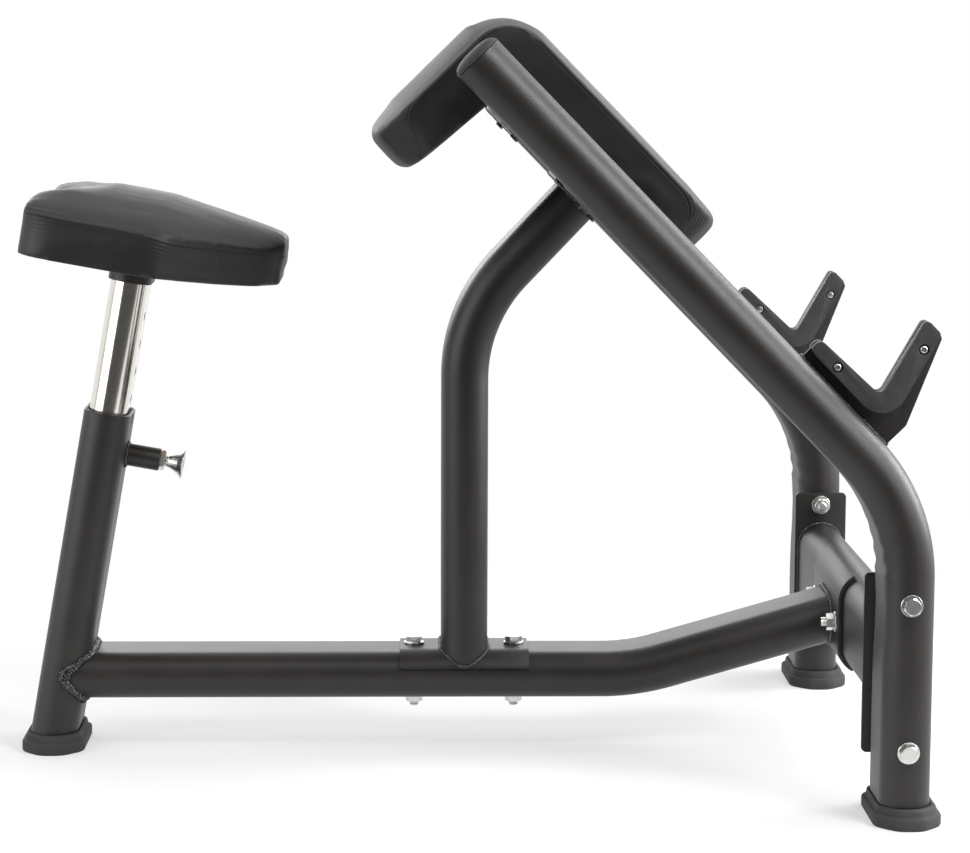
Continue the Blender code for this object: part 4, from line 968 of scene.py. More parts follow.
class LineTree:
    """Geometry Nodes tree that sets copies of a small shape along a line."""

    NAME = ""
    SIZES: tuple[tuple[str, float], ...] = ()
    AXIS = "Z"

    def __init__(self) -> None:
        """Build the tree: named inputs, turned copies on the resampled line, and one real mesh."""
        self.tree = bpy.data.node_groups.new(self.NAME, "GeometryNodeTree")
        wanted = [("Geometry", "Geometry", None), *((name, "Float", size) for name, size in self.SIZES)]
        for name, kind, default in [*wanted, ("Seed", "Int", 3), ("Material", "Material", None)]:
            socket = self.tree.interface.new_socket(name, in_out="INPUT", socket_type="NodeSocket" + kind)
            if default is not None:
                socket.default_value = default
        self.tree.interface.new_socket("Geometry", in_out="OUTPUT", socket_type="NodeSocketGeometry")
        graph = Graph(self.tree)
        given = graph.node("NodeGroupInput").outputs
        line = graph.node("GeometryNodeMeshToCurve", {0: given["Geometry"]})
        spacing = {"Curve": line, "Length": given["Pitch"]}
        spaced = graph.node("GeometryNodeResampleCurve", spacing, mode="LENGTH")
        tangent = graph.node("GeometryNodeInputTangent")
        turn = graph.node("FunctionNodeAlignEulerToVector", {"Vector": tangent}, axis=self.AXIS)
        copy = self._copy(graph, given, turn)
        copies = graph.node("GeometryNodeInstanceOnPoints", {"Points": spaced, **copy})
        real = graph.node("GeometryNodeRealizeInstances", {0: copies})
        painted = graph.node("GeometryNodeSetMaterial", {"Geometry": real, "Material": given["Material"]})
        graph.node("NodeGroupOutput", {0: painted})

    def _copy(self, graph: Graph, given: bpy.types.NodeOutputs, turn: bpy.types.Node) -> Given:
        """Inputs of the copies.

        Args:
            graph: The tree.
            given: The tree's own inputs.
            turn: Rotation that lines a copy up with the line.

        Returns:
            The shape, rotation and scale of each copy.
        """
        raise NotImplementedError

    def lay(self, path: Ring, closed: bool, sizes: dict[str, float], seed: int, finish: Finish) -> Mesh:
        """Set the copies along a path.

        Args:
            path: Points of the line.
            closed: Whether the line is a loop.
            sizes: Values of the tree's named sizes.
            seed: Seed of the unevenness.
            finish: Material of the copies.

        Returns:
            One mesh of all the copies.
        """
        line = bpy.data.meshes.new("line")
        edges = [(index, index + 1) for index in range(len(path) - 1)]
        line.from_pydata(path, edges + ([(len(path) - 1, 0)] if closed else []), [])
        item = linked(line)
        step = item.modifiers.new("copies", "NODES")
        step.node_group = self.tree
        values = {**sizes, "Seed": seed, "Material": finish.material()}
        for socket in self.tree.interface.items_tree:
            if socket.in_out == "INPUT" and socket.name in values:
                step[socket.identifier] = values[socket.name]
        return evaluated(item)


class WeldTree(LineTree):
    """Overlapping weld droplets, each a little uneven."""

    NAME = "weld_bead"
    SIZES = (("Pitch", 2.6 * MM), ("Droplet", 3.4 * MM), ("Unevenness", 0.30))

    def _copy(self, graph: Graph, given: bpy.types.NodeOutputs, turn: bpy.types.Node) -> Given:
        """Flattened droplet of an uneven size."""
        ball = {"Segments": 10, "Rings": 6, "Radius": given["Droplet"]}
        drop = graph.node("GeometryNodeMeshUVSphere", ball)
        limits = {}
        for name, operation, tall in (("Min", "SUBTRACT", 0.5), ("Max", "ADD", 0.75)):
            wide = graph.node("ShaderNodeMath", {0: 1.0, 1: given["Unevenness"]}, operation=operation)
            limits[name] = graph.node("ShaderNodeCombineXYZ", {0: wide, 1: wide, 2: tall})
        limits["Seed"] = given["Seed"]
        size = graph.node("FunctionNodeRandomValue", limits, data_type="FLOAT_VECTOR")
        return {"Instance": drop, "Rotation": turn, "Scale": size}


class StapleTree(LineTree):
    """Flat crowns of wire staples, each a little askew."""

    NAME = "staples"
    SIZES = (("Pitch", 24 * MM), ("Crown", 11 * MM), ("Wire", 1.1 * MM))
    AXIS = "X"

    def _copy(self, graph: Graph, given: bpy.types.NodeOutputs, turn: bpy.types.Node) -> Given:
        """Wire crown turned along the line."""
        size = graph.node("ShaderNodeCombineXYZ", {0: given["Crown"], 1: given["Wire"], 2: given["Wire"]})
        crown = graph.node("GeometryNodeMeshCube", {"Size": size})
        limits = {2: -0.25, 3: 0.25, "Seed": given["Seed"]}
        askew = graph.value("FunctionNodeRandomValue", limits, data_type="FLOAT")
        twist = graph.node("ShaderNodeCombineXYZ", {2: askew})
        both = graph.node("FunctionNodeRotateEuler", {0: turn, 1: twist}, space="LOCAL")
        return {"Instance": crown, "Rotation": both}


@dataclass
class Welder:
    """Lays the weld beads of the frame; each bead's seed follows its number."""

    tree: WeldTree = field(default_factory=WeldTree)
    laid: int = 0

    def lay(
        self, name: str, path: Ring, closed: bool = True, droplet: float = 3.4 * MM, uneven: float = 0.28
    ) -> None:
        """Lay one bead as a piece.

        Args:
            name: Name of the piece, after "weld_".
            path: Points of the bead's line.
            closed: Whether the line is a loop.
            droplet: Radius of the droplets.
            uneven: Share by which their size varies.
        """
        self.laid += 1
        sizes = {"Pitch": droplet * 0.75, "Droplet": droplet, "Unevenness": uneven}
        mesh = self.tree.lay(path, closed, sizes, self.laid * 7, Finishes.WELD)
        put("weld_" + name, mesh, Finishes.WELD, sharp=80.0)


# Hardware


@dataclass(frozen=True)
class HexHardware:
    """Sizes of a hexagon bolt, its washer and its nut."""

    across: float = 0.019
    head: float = 0.0075
    shank: float = 0.006
    nut: float = 0.010
    washer: float = 0.013
    washer_thick: float = 0.0024
    thread: float = 1.75 * MM

    def hexagon(self, low: float, high: float, both: bool = False, bore: float = 0.0) -> Mesh:
        """Hexagon whose corners are turned off at the top, or at both ends.

        Args:
            low: Lower face.
            high: Upper face.
            both: Whether the lower corners are turned off too.
            bore: Radius of the hole through it, or 0 for none.

        Returns:
            The mesh along Z.
        """
        face = self.across / 2
        turn = face * 0.955
        slant = math.tan(math.radians(30.0))

        def ring(radius: float, height: float, slope: float = 0.0) -> Ring:
            """Points at a radius, or on the hexagon for 0, whose height falls by a slope to its corners."""
            points = []
            for angle in around(72):
                corner = face / math.cos((angle % (math.pi / 3)) - math.pi / 6)
                reach = radius or corner
                z = height - (corner - turn) * slope
                points.append(Vector((reach * math.cos(angle), reach * math.sin(angle), z)))
            return points

        rings = [ring(0.0, high, slant), ring(turn, high)]
        if bore:
            rings += [ring(bore, high), ring(bore, low)]
        rings += [ring(turn, low), ring(0.0, low, -slant)] if both else [ring(0.0, low)]
        return loft(rings, Ends.JOINED) if bore else loft([rings[-1]] + rings[:-1])

    def washer_ring(self, low: float) -> Mesh:
        """Flat washer with softened rims."""
        soft = 0.35 * MM
        outer, inner, high = self.washer, self.shank + 0.4 * MM, low + self.washer_thick
        profile = [(inner, low), (outer - soft, low), (outer, low + soft), (outer, high - soft)]
        profile += [(outer - soft, high), (inner + soft, high), (inner, high - soft), (inner, low)]
        return turned(profile, 56)

    def threaded(self, low: float, high: float) -> Mesh:
        """Threaded shank with a chamfered lower end."""
        core = self.shank * 0.88
        profile = [(0.0, low), (core - 0.6 * MM, low), (core, low + 0.8 * MM)]
        z = low + 0.8 * MM
        while z + self.thread < high:
            profile += [(self.shank, z + self.thread * 0.5), (core, z + self.thread)]
            z += self.thread
        profile += [(self.shank, high), (0.0, high)]
        return turned(profile, 32)

    def bolt(self, length: float, shown_thread: float = 0.03) -> Mesh:
        """Bolt with its washer: the washer's underside is at Z = 0 and the shank runs down.

        Args:
            length: Reach of the shank below Z = 0.
            shown_thread: Length of the modelled thread at its end.

        Returns:
            The mesh.
        """
        thick = self.washer_thick
        thread_top = -length + shown_thread
        parts = [self.hexagon(thick, thick + self.head)]
        if self.washer:
            parts.append(self.washer_ring(0.0))
        parts.append(rod(self.shank, thread_top, thick + MM, 32))
        return joined(parts + [self.threaded(-length, thread_top)])

    def nut_with_washer(self) -> Mesh:
        """Nut on its washer: the washer's outer face is at Z = 0."""
        thick = self.washer_thick
        return joined([self.hexagon(thick, thick + self.nut, True, self.shank), self.washer_ring(0.0)])


M12 = HexHardware()
M6 = HexHardware(0.010, 0.0045, 0.003, 0.005, 0.0, 0.0, 1.0 * MM)
FASTENER = 25.0  # degrees above which a fastener's edge stays sharp
BEND_STEP = 3.5 * MM


# Sub-assemblies


@dataclass
class SideFrame:
    """One bent side tube with its plug, end plate and leg bolts."""

    side: Side
    bend_radius: float = 0.208
    top_along: float = 0.721
    dome: float = 0.009
    bolt_heights: tuple[float, float] = (0.265, 0.091)
    plate_z: float = 0.172

    def build(self) -> None:
        """Make the tube, plug, end plate and bolts."""
        name, y = self.side.value, self.side.sign * BENCH.side_y
        top = (-self.top_along * math.cos(BENCH.slope), self.top_along * math.sin(BENCH.slope))
        points = [(0.0, BENCH.foot_z), (0.0, BENCH.leg_corner_z), (top[0], BENCH.leg_corner_z + top[1])]
        ripples = (Ripples(0.275, 0.070, 0.026, 2.2 * MM), Ripples(0.235, 0.060, 0.015, 1.0 * MM))
        tube = Tube(route(points, self.bend_radius, BEND_STEP), ripples=ripples)
        place = shifted(BENCH.leg_x, y, 0.0)
        put("side_tube_" + name, tube.mesh(), Finishes.POWDER, ["side_frame_" + name], place)
        self._plug(y)
        self._plate()
        self._bolts(y)

    def _plug(self, y: float) -> None:
        """Domed plug pressed into the tube's upper end."""
        rim = 2.2 * MM
        levels = [(BENCH.wall + 0.4 * MM, -0.018), (BENCH.wall + 0.4 * MM, GAP), (0.2 * MM, 0.35 * MM)]
        levels += [(-0.4 * MM, 0.9 * MM), (-0.2 * MM, 1.8 * MM), (1.2 * MM, rim)]
        for angle in swing(0.0, math.pi / 2, 9)[1:-1]:
            rise = (self.dome + 1.5 * MM - rim) * math.sin(angle) ** 0.85
            levels.append((1.2 * MM + 0.026 * (1 - math.cos(angle)), rim + rise))
        rings = [oval_ring(BENCH.thick - 2 * inset, BENCH.wide - 2 * inset, z) for inset, z in levels]
        name = self.side.value
        place = BENCH.slope_frame(y) @ shifted(-self.top_along, 0.0, 0.0) @ rotated(-math.pi / 2, "Y")
        put("end_plug_" + name, loft(rings), Finishes.PLUG, ["tube_plug_" + name], place, 50.0)

    def _plate(self) -> None:
        """End plate of the cross member."""
        name = self.side.value
        low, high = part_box("end_plate_" + name)
        outline = box_outline((high.x - low.x) / 2, (high.z - low.z) / 2, 0.006)
        outline = [(BENCH.cross_x + first, self.plate_z + second) for first, second in outline]
        plate = bevelled(prism([outline], low.y, high.y, Axis.Y), 0.9 * MM)
        put("leg_plate_" + name, plate, Finishes.POWDER, ["end_plate_" + name])

    def _bolts(self, y: float) -> None:
        """Bolts through the leg and the plate."""
        sign, x = self.side.sign, BENCH.cross_x
        outer = y + sign * (BENCH.wide / 2 + GAP)
        inner = sign * (BENCH.cross_half + GAP)
        length = abs(outer - inner) + M12.washer_thick + M12.nut + 0.006
        for level, height, spin in zip(("upper", "lower"), self.bolt_heights, (17.0, -9.0)):
            head = shifted(x, outer, height) @ rotated(-sign * math.pi / 2, "X")
            bolt = placed(M12.bolt(length), head @ rotated(math.radians(spin), "Z"))
            back = shifted(x, inner, height) @ rotated(sign * math.pi / 2, "X")
            mesh = joined([bolt, placed(M12.nut_with_washer(), back)])
            label = self.side.value + "_" + level
            put("leg_fastener_" + label, mesh, Finishes.ZINC, ["leg_bolt_" + label], sharp=FASTENER)


@dataclass
class CrossMember:
    """Tube between the legs with the saddle plate that carries the main beam."""

    welder: Welder
    saddle_half: float = 0.110
    saddle_wrap: float = math.radians(63.0)
    bolt_y: float = 0.090

    def build(self) -> None:
        """Make the tube, saddle, bolts and welds."""
        half = BENCH.cross_half
        rings = [self._ring(y, 0.0) for y in (-half, -half + 0.02, half - 0.02, half)]
        put("leg_cross_tube", loft(rings), Finishes.POWDER, ["cross_member"])
        for side in Side:
            path = self._ring(side.sign * (half - 0.8 * MM), 0.5 * MM)
            self.welder.lay("cross_" + side.value, path, droplet=2.4 * MM)
        saddle = prism([self._saddle()], -self.saddle_half, self.saddle_half, Axis.Y)
        put("beam_saddle", bevelled(saddle, 1.2 * MM, 3, 50.0), Finishes.POWDER, ["saddle_plate"])
        self._bolts()

    @staticmethod
    def _ring(y: float, grow: float) -> Ring:
        """The tube's outline at a place along it, grown by a distance."""
        outline = oval(BENCH.thick + 2 * grow, BENCH.wide + 2 * grow)
        return [Vector((BENCH.cross_x + first, y, BENCH.cross_z + second)) for first, second in outline]

    def _saddle(self) -> Outline:
        """Band that hugs the tube's side toward the seat."""

        def arc(offset: float, sign: float) -> Outline:
            """Points of one round side, from its flat side to the band's end."""
            radius = BENCH.radius + offset
            points = []
            for angle in swing(0.0, self.saddle_wrap, 16):
                rise = BENCH.flat + radius * math.sin(angle)
                points.append((BENCH.cross_x - radius * math.cos(angle), BENCH.cross_z + sign * rise))
            return points

        inner, outer = GAP, GAP + BENCH.saddle_thick
        outside = arc(outer, 1.0)[::-1] + arc(outer, -1.0)
        return outside + arc(inner, -1.0)[::-1] + arc(inner, 1.0)

    def _bolts(self) -> None:
        """Bolts through the tube with their nuts on the saddle."""
        x, z = BENCH.cross_x, BENCH.cross_z - 1.0 * MM
        face = x - BENCH.radius - GAP - BENCH.saddle_thick
        length = x + BENCH.radius - face + M12.washer_thick + M12.nut + 0.007
        for side in Side:
            name, y = side.value, side.sign * self.bolt_y
            place = shifted(x + BENCH.radius + GAP, y, z) @ rotated(math.pi / 2, "Y")
            bolt = M12.bolt(length)
            put("saddle_fastener_" + name, bolt, Finishes.ZINC, ["saddle_bolt_" + name], place, FASTENER)
            place = shifted(face - GAP, y, z) @ rotated(-math.pi / 2, "Y")
            nut = M12.nut_with_washer()
            put("saddle_lock_nut_" + name, nut, Finishes.ZINC, ["saddle_nut_" + name], place, FASTENER)


@dataclass
class MainBeam:
    """Low beam from the front sleeve to the saddle."""

    welder: Welder
    bend_x: float = 0.220
    rise: float = math.radians(16.0)
    reach: float = 0.26
    bend_radius: float = 0.300

    def build(self) -> None:
        """Make the beam and the welds at both of its ends."""
        corner = self.bend_x + BENCH.middle_x
        start = BENCH.front_x + BENCH.beam_z * math.tan(BENCH.lean) + 0.05
        end = (corner + self.reach * math.cos(self.rise), BENCH.beam_z + self.reach * math.sin(self.rise))
        bend = corner - start
        ripples = (Ripples(bend, 0.040, 0.015, 0.5 * MM), Ripples(bend + 0.012, 0.030, 0.009, 0.25 * MM))
        line = route([(start, BENCH.beam_z), (corner, BENCH.beam_z), end], self.bend_radius, BEND_STEP)
        tube = Tube(line, ripples=ripples, start_cut=self.on_sleeve, end_cut=self.on_saddle)
        put("low_beam", tube.mesh(), Finishes.POWDER, ["main_beam"])
        outline = [(second, first) for first, second in oval(BENCH.thick + 1.5 * MM, BENCH.wide + 1.5 * MM)]
        front = [self.on_sleeve(Vector((0.0, y, BENCH.beam_z + z)), 1.2 * MM) for y, z in outline]
        self.welder.lay("beam_front", front, droplet=5.0 * MM, uneven=0.42)
        cover = []
        for y, z in outline:
            spread = 1.035 if z > 0 else 1.0
            cover.append(self.on_sleeve(Vector((0.0, y * spread, BENCH.beam_z + z * spread)), 0.6 * MM))
        self.welder.lay("beam_front_cover", cover, droplet=3.8 * MM, uneven=0.5)
        normal = Vector((-math.sin(self.rise), 0.0, math.cos(self.rise)))
        centre = Vector((end[0], 0.0, end[1]))
        rear = [self.on_saddle(centre + normal * z + Vector((0.0, y, 0.0))) for y, z in outline]
        self.welder.lay("beam_rear", rear, droplet=3.6 * MM)

    def on_sleeve(self, corner: Vector, clear: float = GAP) -> Vector:
        """Move a point along X onto the front sleeve's rear face."""
        along = BENCH.bulge(corner.y, clear)
        height = (corner.z + along * math.sin(BENCH.lean)) / math.cos(BENCH.lean)
        x = BENCH.front_x + along * math.cos(BENCH.lean) + height * math.sin(BENCH.lean)
        return Vector((x, corner.y, corner.z))

    def on_saddle(self, corner: Vector) -> Vector:
        """Move a point along the beam's rise onto the saddle's face."""
        x, z = corner.x, corner.z
        for _ in range(4):
            x = BENCH.cross_x - BENCH.bulge(z - BENCH.cross_z, 2 * GAP + BENCH.saddle_thick)
            z = corner.z + (x - corner.x) * math.tan(self.rise)
        return Vector((x, corner.y, z))


@dataclass
class MiddlePost:
    """Bent post under the arm pad, its folded base bracket and the base bolts."""

    welder: Welder
    corner_z: float = 0.5636
    tilt: float = math.radians(46.5)
    reach: float = 0.20
    bend_radius: float = 0.205
    bracket_thick: float = 0.0035
    bracket_length: float = 0.1666
    bracket_low_z: float = 0.110
    bolt_x: float = 0.065
    bolt_end_z: float = 0.0495

    def build(self) -> None:
        """Make the post, bracket, bolts and welds."""
        top = (
            BENCH.middle_x + self.reach * math.cos(self.tilt),
            self.corner_z + self.reach * math.sin(self.tilt),
        )
        points = [(BENCH.middle_x, BENCH.beam_z + 0.05), (BENCH.middle_x, self.corner_z), top]
        line = route(points, self.bend_radius, 0.005)
        tube = Tube(line, start_cut=self.on_bracket, end_cut=self.under_bar)
        put("bent_post", tube.mesh(), Finishes.POWDER, ["middle_post"])
        outline = oval(BENCH.thick + 0.8 * MM, BENCH.wide + 0.8 * MM)
        foot = [self.on_bracket(Vector((BENCH.middle_x + a, b, 0.0))) for a, b in outline]
        self.welder.lay("post_foot", foot, droplet=2.6 * MM)
        normal = Vector((0.0, 1.0, 0.0)).cross(self._along())
        centre = Vector((top[0], 0.0, top[1]))
        head = [self.under_bar(centre + normal * a + Vector((0.0, b, 0.0))) for a, b in outline]
        self.welder.lay("post_head", head, droplet=3.0 * MM)
        self._bracket()
        self._bolts()

    def _along(self) -> Vector:
        """Direction of the post's top run."""
        return Vector((math.cos(self.tilt), 0.0, math.sin(self.tilt)))

    def on_bracket(self, corner: Vector) -> Vector:
        """Drop a point onto the base bracket."""
        height = BENCH.bulge(corner.y, 2 * GAP + self.bracket_thick)
        return Vector((corner.x, corner.y, BENCH.beam_z + height))

    def under_bar(self, corner: Vector) -> Vector:
        """Move a point along the post's top run to the support bar's lower face."""
        slope = BENCH.slope_frame()
        way = slope.to_3x3().inverted() @ self._along()
        share = (-BENCH.radius - GAP - (slope.inverted() @ corner).z) / way.z
        return corner + self._along() * share

    def _bracket(self) -> None:
        """Band folded over the beam's top, with rounded lower corners."""
        low = math.asin((self.bracket_low_z - BENCH.beam_z) / (BENCH.radius + GAP + self.bracket_thick))
        half = self.bracket_length / 2

        def fold(offset: float) -> Outline:
            """Section of one face, from one lower edge to the other."""
            radius = BENCH.radius + offset
            right = []
            for angle in swing(low, math.pi / 2, 16):
                right.append((BENCH.flat + radius * math.cos(angle), BENCH.beam_z + radius * math.sin(angle)))
            return right + [(-y, z) for y, z in right[::-1]]

        band = prism([fold(GAP + self.bracket_thick) + fold(GAP)[::-1]], -half, half, Axis.X)
        under, over = self.bracket_low_z - 1 * MM, BENCH.beam_z + BENCH.radius + 0.03
        side = rounded([(half, over), (-half, over), (-half, under), (half, under)], [0.0, 0.0, 0.007, 0.007])
        band = cut(band, [prism([side], -0.1, 0.1, Axis.Y)], "INTERSECT")
        place = shifted(BENCH.middle_x, 0.0, 0.0)
        put("beam_bracket", bevelled(band, 0.7 * MM, 2, 50.0), Finishes.POWDER, ["base_bracket"], place)

    def _bolts(self) -> None:
        """Bolts down through bracket and beam."""
        top = BENCH.beam_z + BENCH.radius + 2 * GAP + self.bracket_thick
        under = BENCH.beam_z - BENCH.radius - GAP
        for end, sign, spin in (("front", -1.0, 20.0), ("rear", 1.0, 3.0)):
            x = BENCH.middle_x + sign * self.bolt_x
            place = shifted(x, 0.0, top) @ rotated(math.radians(spin), "Z")
            bolt = M12.bolt(top - self.bolt_end_z)
            put("beam_fastener_" + end, bolt, Finishes.ZINC, ["base_bolt_" + end], place, FASTENER)
            place = shifted(x, 0.0, under) @ rotated(math.pi, "X")
            nut = M12.nut_with_washer()
            put("beam_lock_nut_" + end, nut, Finishes.ZINC, ["base_nut_" + end], place, FASTENER)


@dataclass
class PadSupport:
    """Box bars between the side tubes and the screws that hold the arm pad."""

    welder: Welder
    bars: tuple[tuple[str, float, float], ...] = (("upper", 0.622, 0.060), ("lower", 0.488, 0.080))
    seat: float = BENCH.pad_seat
    bolt_y: tuple[float, float] = (0.280, 0.110)
    spread: float = 0.0115
    LOFT = ((-1.0, 0.0), (-1.0, 0.03), (1.0, 0.03), (1.0, 0.0))

    def build(self) -> None:
        """Make both bars, their end welds and the pad's screws."""
        slope = BENCH.slope_frame()
        low, high = -BENCH.radius, self.seat - GAP
        for (name, along, wide), bolt_y in zip(self.bars, self.bolt_y):
            lower, upper = -along - wide / 2, -along + wide / 2
            section = rounded([(upper, high), (lower, high), (lower, low), (upper, low)], [0.006] * 4)
            rings = [self._ring(section, sign, shift) for sign, shift in self.LOFT]
            put("pad_bar_" + name, loft(rings), Finishes.POWDER, ["pad_crossbar_" + name], slope)
            for side in Side:
                path = [slope @ corner for corner in self._ring(section, side.sign, 0.4 * MM)]
                self.welder.lay("bar_" + name + "_" + side.value, path, droplet=1.6 * MM)
            shifts = (("", 0.0),) if name == "upper" else (("_a", -self.spread), ("_b", self.spread))
            for label, shift in shifts:
                for side in Side:
                    self._screw(name, label, side, along - shift, bolt_y)

    @staticmethod
    def _ring(section: Outline, sign: float, back: float) -> Ring:
        """A bar's section where it meets the tube's round side, or a distance back from there."""
        ring = []
        for along, height in section:
            inset = min(abs(height), BENCH.radius)
            end = BENCH.side_y - BENCH.flat - math.sqrt(max(0.0, BENCH.radius**2 - inset**2))
            ring.append(Vector((along, sign * (end - back), height)))
        return ring

    def _screw(self, name: str, label: str, side: Side, along: float, y: float) -> None:
        """One screw with its head under the bar."""
        place = BENCH.slope_frame() @ shifted(-along, side.sign * y, -BENCH.radius - GAP)
        node = "pad_bolt_" + name + "_" + side.value + label
        screw = placed(M6.bolt(0.052, 0.02), rotated(math.pi, "X"))
        put(node.replace("bolt", "screw"), screw, Finishes.BLACK_BOLT, [node], place, FASTENER)


@dataclass
class BarHolder:
    """One steel hook with its two plastic guards and screws."""

    side: Side
    welder: Welder
    thick: float = 0.006
    guard: float = 0.012
    heel_along: float = 0.068
    heel_top: float = 0.063
    end_along: float = 0.213
    arm_top: float = 0.0605
    arm_base: float = 0.0655
    inner_along: float = 0.116
    tip_top: float = 0.165
    tip_front: float = 0.144
    tip_back: float = 0.114
    guard_low: float = 0.043
    guard_heel: float = 0.082
    guard_tip_back: float = 0.119
    lip: float = 0.001
    screws: tuple[tuple[str, float, float], ...] = (("arm", 0.1758, 0.0521), ("tip", 0.1207, 0.1382))
    screw_head: float = 0.005
    screw_sunk: float = 3.2 * MM

    def build(self) -> None:
        """Make the hook, guards, screws and weld."""
        name = self.side.value
        place = BENCH.slope_frame(self.side.sign * BENCH.side_y)
        half = self.thick / 2
        hook = bevelled(prism([self._hook()], -half, half, Axis.Y), 0.8 * MM)
        put("hook_" + name, hook, Finishes.POWDER, ["bar_holder_" + name], place)
        for face, turn in (("outer", self.side.sign), ("inner", -self.side.sign)):
            near = turn * (half + GAP)
            far = turn * (half + GAP + self.guard)
            mesh = prism([self._guard()], min(near, far), max(near, far), Axis.Y)
            sinks = []
            for _, along, height in self.screws:
                bore = rod(self.screw_head + 1.3 * MM, 0.0, 0.02, 40, Axis.Y)
                if turn < 0:
                    bore.transform(rotated(math.pi, "X"))
                sinks.append(outward(placed(bore, shifted(-along, far - turn * self.screw_sunk, height))))
            mesh = bevelled(cut(mesh, sinks), 1.5 * MM, 3, 40.0)
            label = name + "_" + face
            put("cup_guard_" + label, mesh, Finishes.GUARD, ["liner_" + label], place)
        for end, along, height in self.screws:
            spot = place @ shifted(-along, 0.0, height) @ rotated(-self.side.sign * math.pi / 2, "X")
            label = "screw_" + name + "_" + end
            put("button_" + label, self._button(), Finishes.ZINC, ["liner_" + label], spot, 30.0)
        base = BENCH.radius + 0.8 * MM
        for sign in (-1.0, 1.0):
            reach = swing(self.heel_along, self.end_along, 40)
            path = [place @ Vector((-along, sign * (half + 1.0 * MM), base)) for along in reach]
            label = name + ("_inner" if sign * self.side.sign < 0 else "_outer")
            self.welder.lay("hook_" + label, path, False, 2.8 * MM)

    def _hook(self) -> Outline:
        """Hook's outline: arm along the tube and an upright that leans up the slope."""
        base = BENCH.radius + GAP
        points = [
            (-self.heel_along, base),
            (-self.heel_along, self.heel_top),
            (-self.tip_back, self.tip_top - self.lip),
            (-self.tip_front, self.tip_top - self.lip),
            (-self.inner_along, self.arm_base - self.lip),
            (-self.end_along + self.lip, self.arm_top - self.lip),
            (-self.end_along + self.lip, base),
        ]
        return rounded(points, [0.0, 0.012, 0.006, 0.006, 0.008, 0.008, 0.0])

    def _guard(self) -> Outline:
        """Guard's outline: a band along the arm and the upright."""
        points = [
            (-self.guard_heel, self.guard_low),
            (-self.guard_tip_back, self.tip_top),
            (-self.tip_front - self.lip, self.tip_top),
            (-self.inner_along, self.arm_base),
            (-self.end_along, self.arm_top),
            (-self.end_along, self.guard_low),
        ]
        return rounded(points, [0.030, 0.007, 0.006, 0.008, 0.008, 0.007])

    def _button(self) -> Mesh:
        """Button-head screw and its sleeve nut, along Z and centred."""
        outer = self.thick / 2 + self.guard - 2.4 * MM
        head = self.screw_head
        socket, crown_start = 1.6 * MM, 2.1 * MM
        profile = [(0.0, outer + 0.6 * MM), (socket, outer + 0.6 * MM), (socket + 0.1 * MM, outer + 2.5 * MM)]
        for angle in swing(0.0, math.pi / 2, 5):
            radius = crown_start + (head - crown_start) * math.sin(angle)
            profile.append((radius, outer + 2.6 * MM * math.cos(angle)))
        profile += [(2.5 * MM, outer - 0.1 * MM), (2.5 * MM, -outer), (head, -outer)]
        profile += [(head - 0.5 * MM, -outer - 1.4 * MM), (0.0, -outer - 2.4 * MM)]
        return turned(profile, 40)


@dataclass
class FootCap:
    """Stepped rubber cap under a tube: its levels are (height, inset) pairs in millimetres."""

    node: str
    tilt: bool = False
    length: float = 0.081
    width: float = 0.150
    chamfer: float = 0.025
    height: float = 0.024
    LEVELS = (
        (0.0, 2.2), (0.9, 0.9), (2.6, 0.1), (7.0, 0.0), (12.0, 0.0), (13.9, 0.5), (14.8, 1.7),
        (15.2, 3.4), (15.6, 4.6), (17.5, 5.0), (22.0, 5.6), (23.4, 6.2), (24.0, 7.6),
    )

    def build(self) -> None:
        """Make the cap from outlines stacked by height."""
        low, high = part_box(self.node)
        centre = Vector(((low.x + high.x) / 2, (low.y + high.y) / 2, 0.0))
        rings = [self._ring(inset * MM, height * MM, centre) for height, inset in self.LEVELS]
        for grow, drop in ((1.6, 0.1), (0.9, 0.9), (0.7, 4.0)):
            rings.append(self._tube_ring(grow * MM, self.height - drop * MM, centre))
        name = self.node.replace("foot_cap", "rubber_foot")
        put(name, loft(rings), Finishes.RUBBER, [self.node], sharp=60.0)

    def _ring(self, inset: float, height: float, centre: Vector) -> Ring:
        """Cap's outline drawn in by an inset, at a height."""
        half, wide, corner = self.length / 2 - inset, self.width / 2 - inset, self.chamfer - inset * 0.4
        points = [(half, wide - corner), (half - corner, wide), (corner - half, wide), (-half, wide - corner)]
        points += [(-x, -y) for x, y in points]
        outline = radial(rounded(points, [corner * 0.95] * 8))
        return [centre + Vector((x, y, height)) for x, y in outline]

    def _tube_ring(self, grow: float, height: float, centre: Vector) -> Ring:
        """Outline of the tube's socket at a height."""
        shift = BENCH.front_x + height * math.tan(BENCH.lean) if self.tilt else BENCH.leg_x
        outline = radial(oval(BENCH.thick + 2 * grow, BENCH.wide + 2 * grow))
        return [Vector((shift + x, centre.y + y, height)) for x, y in outline]


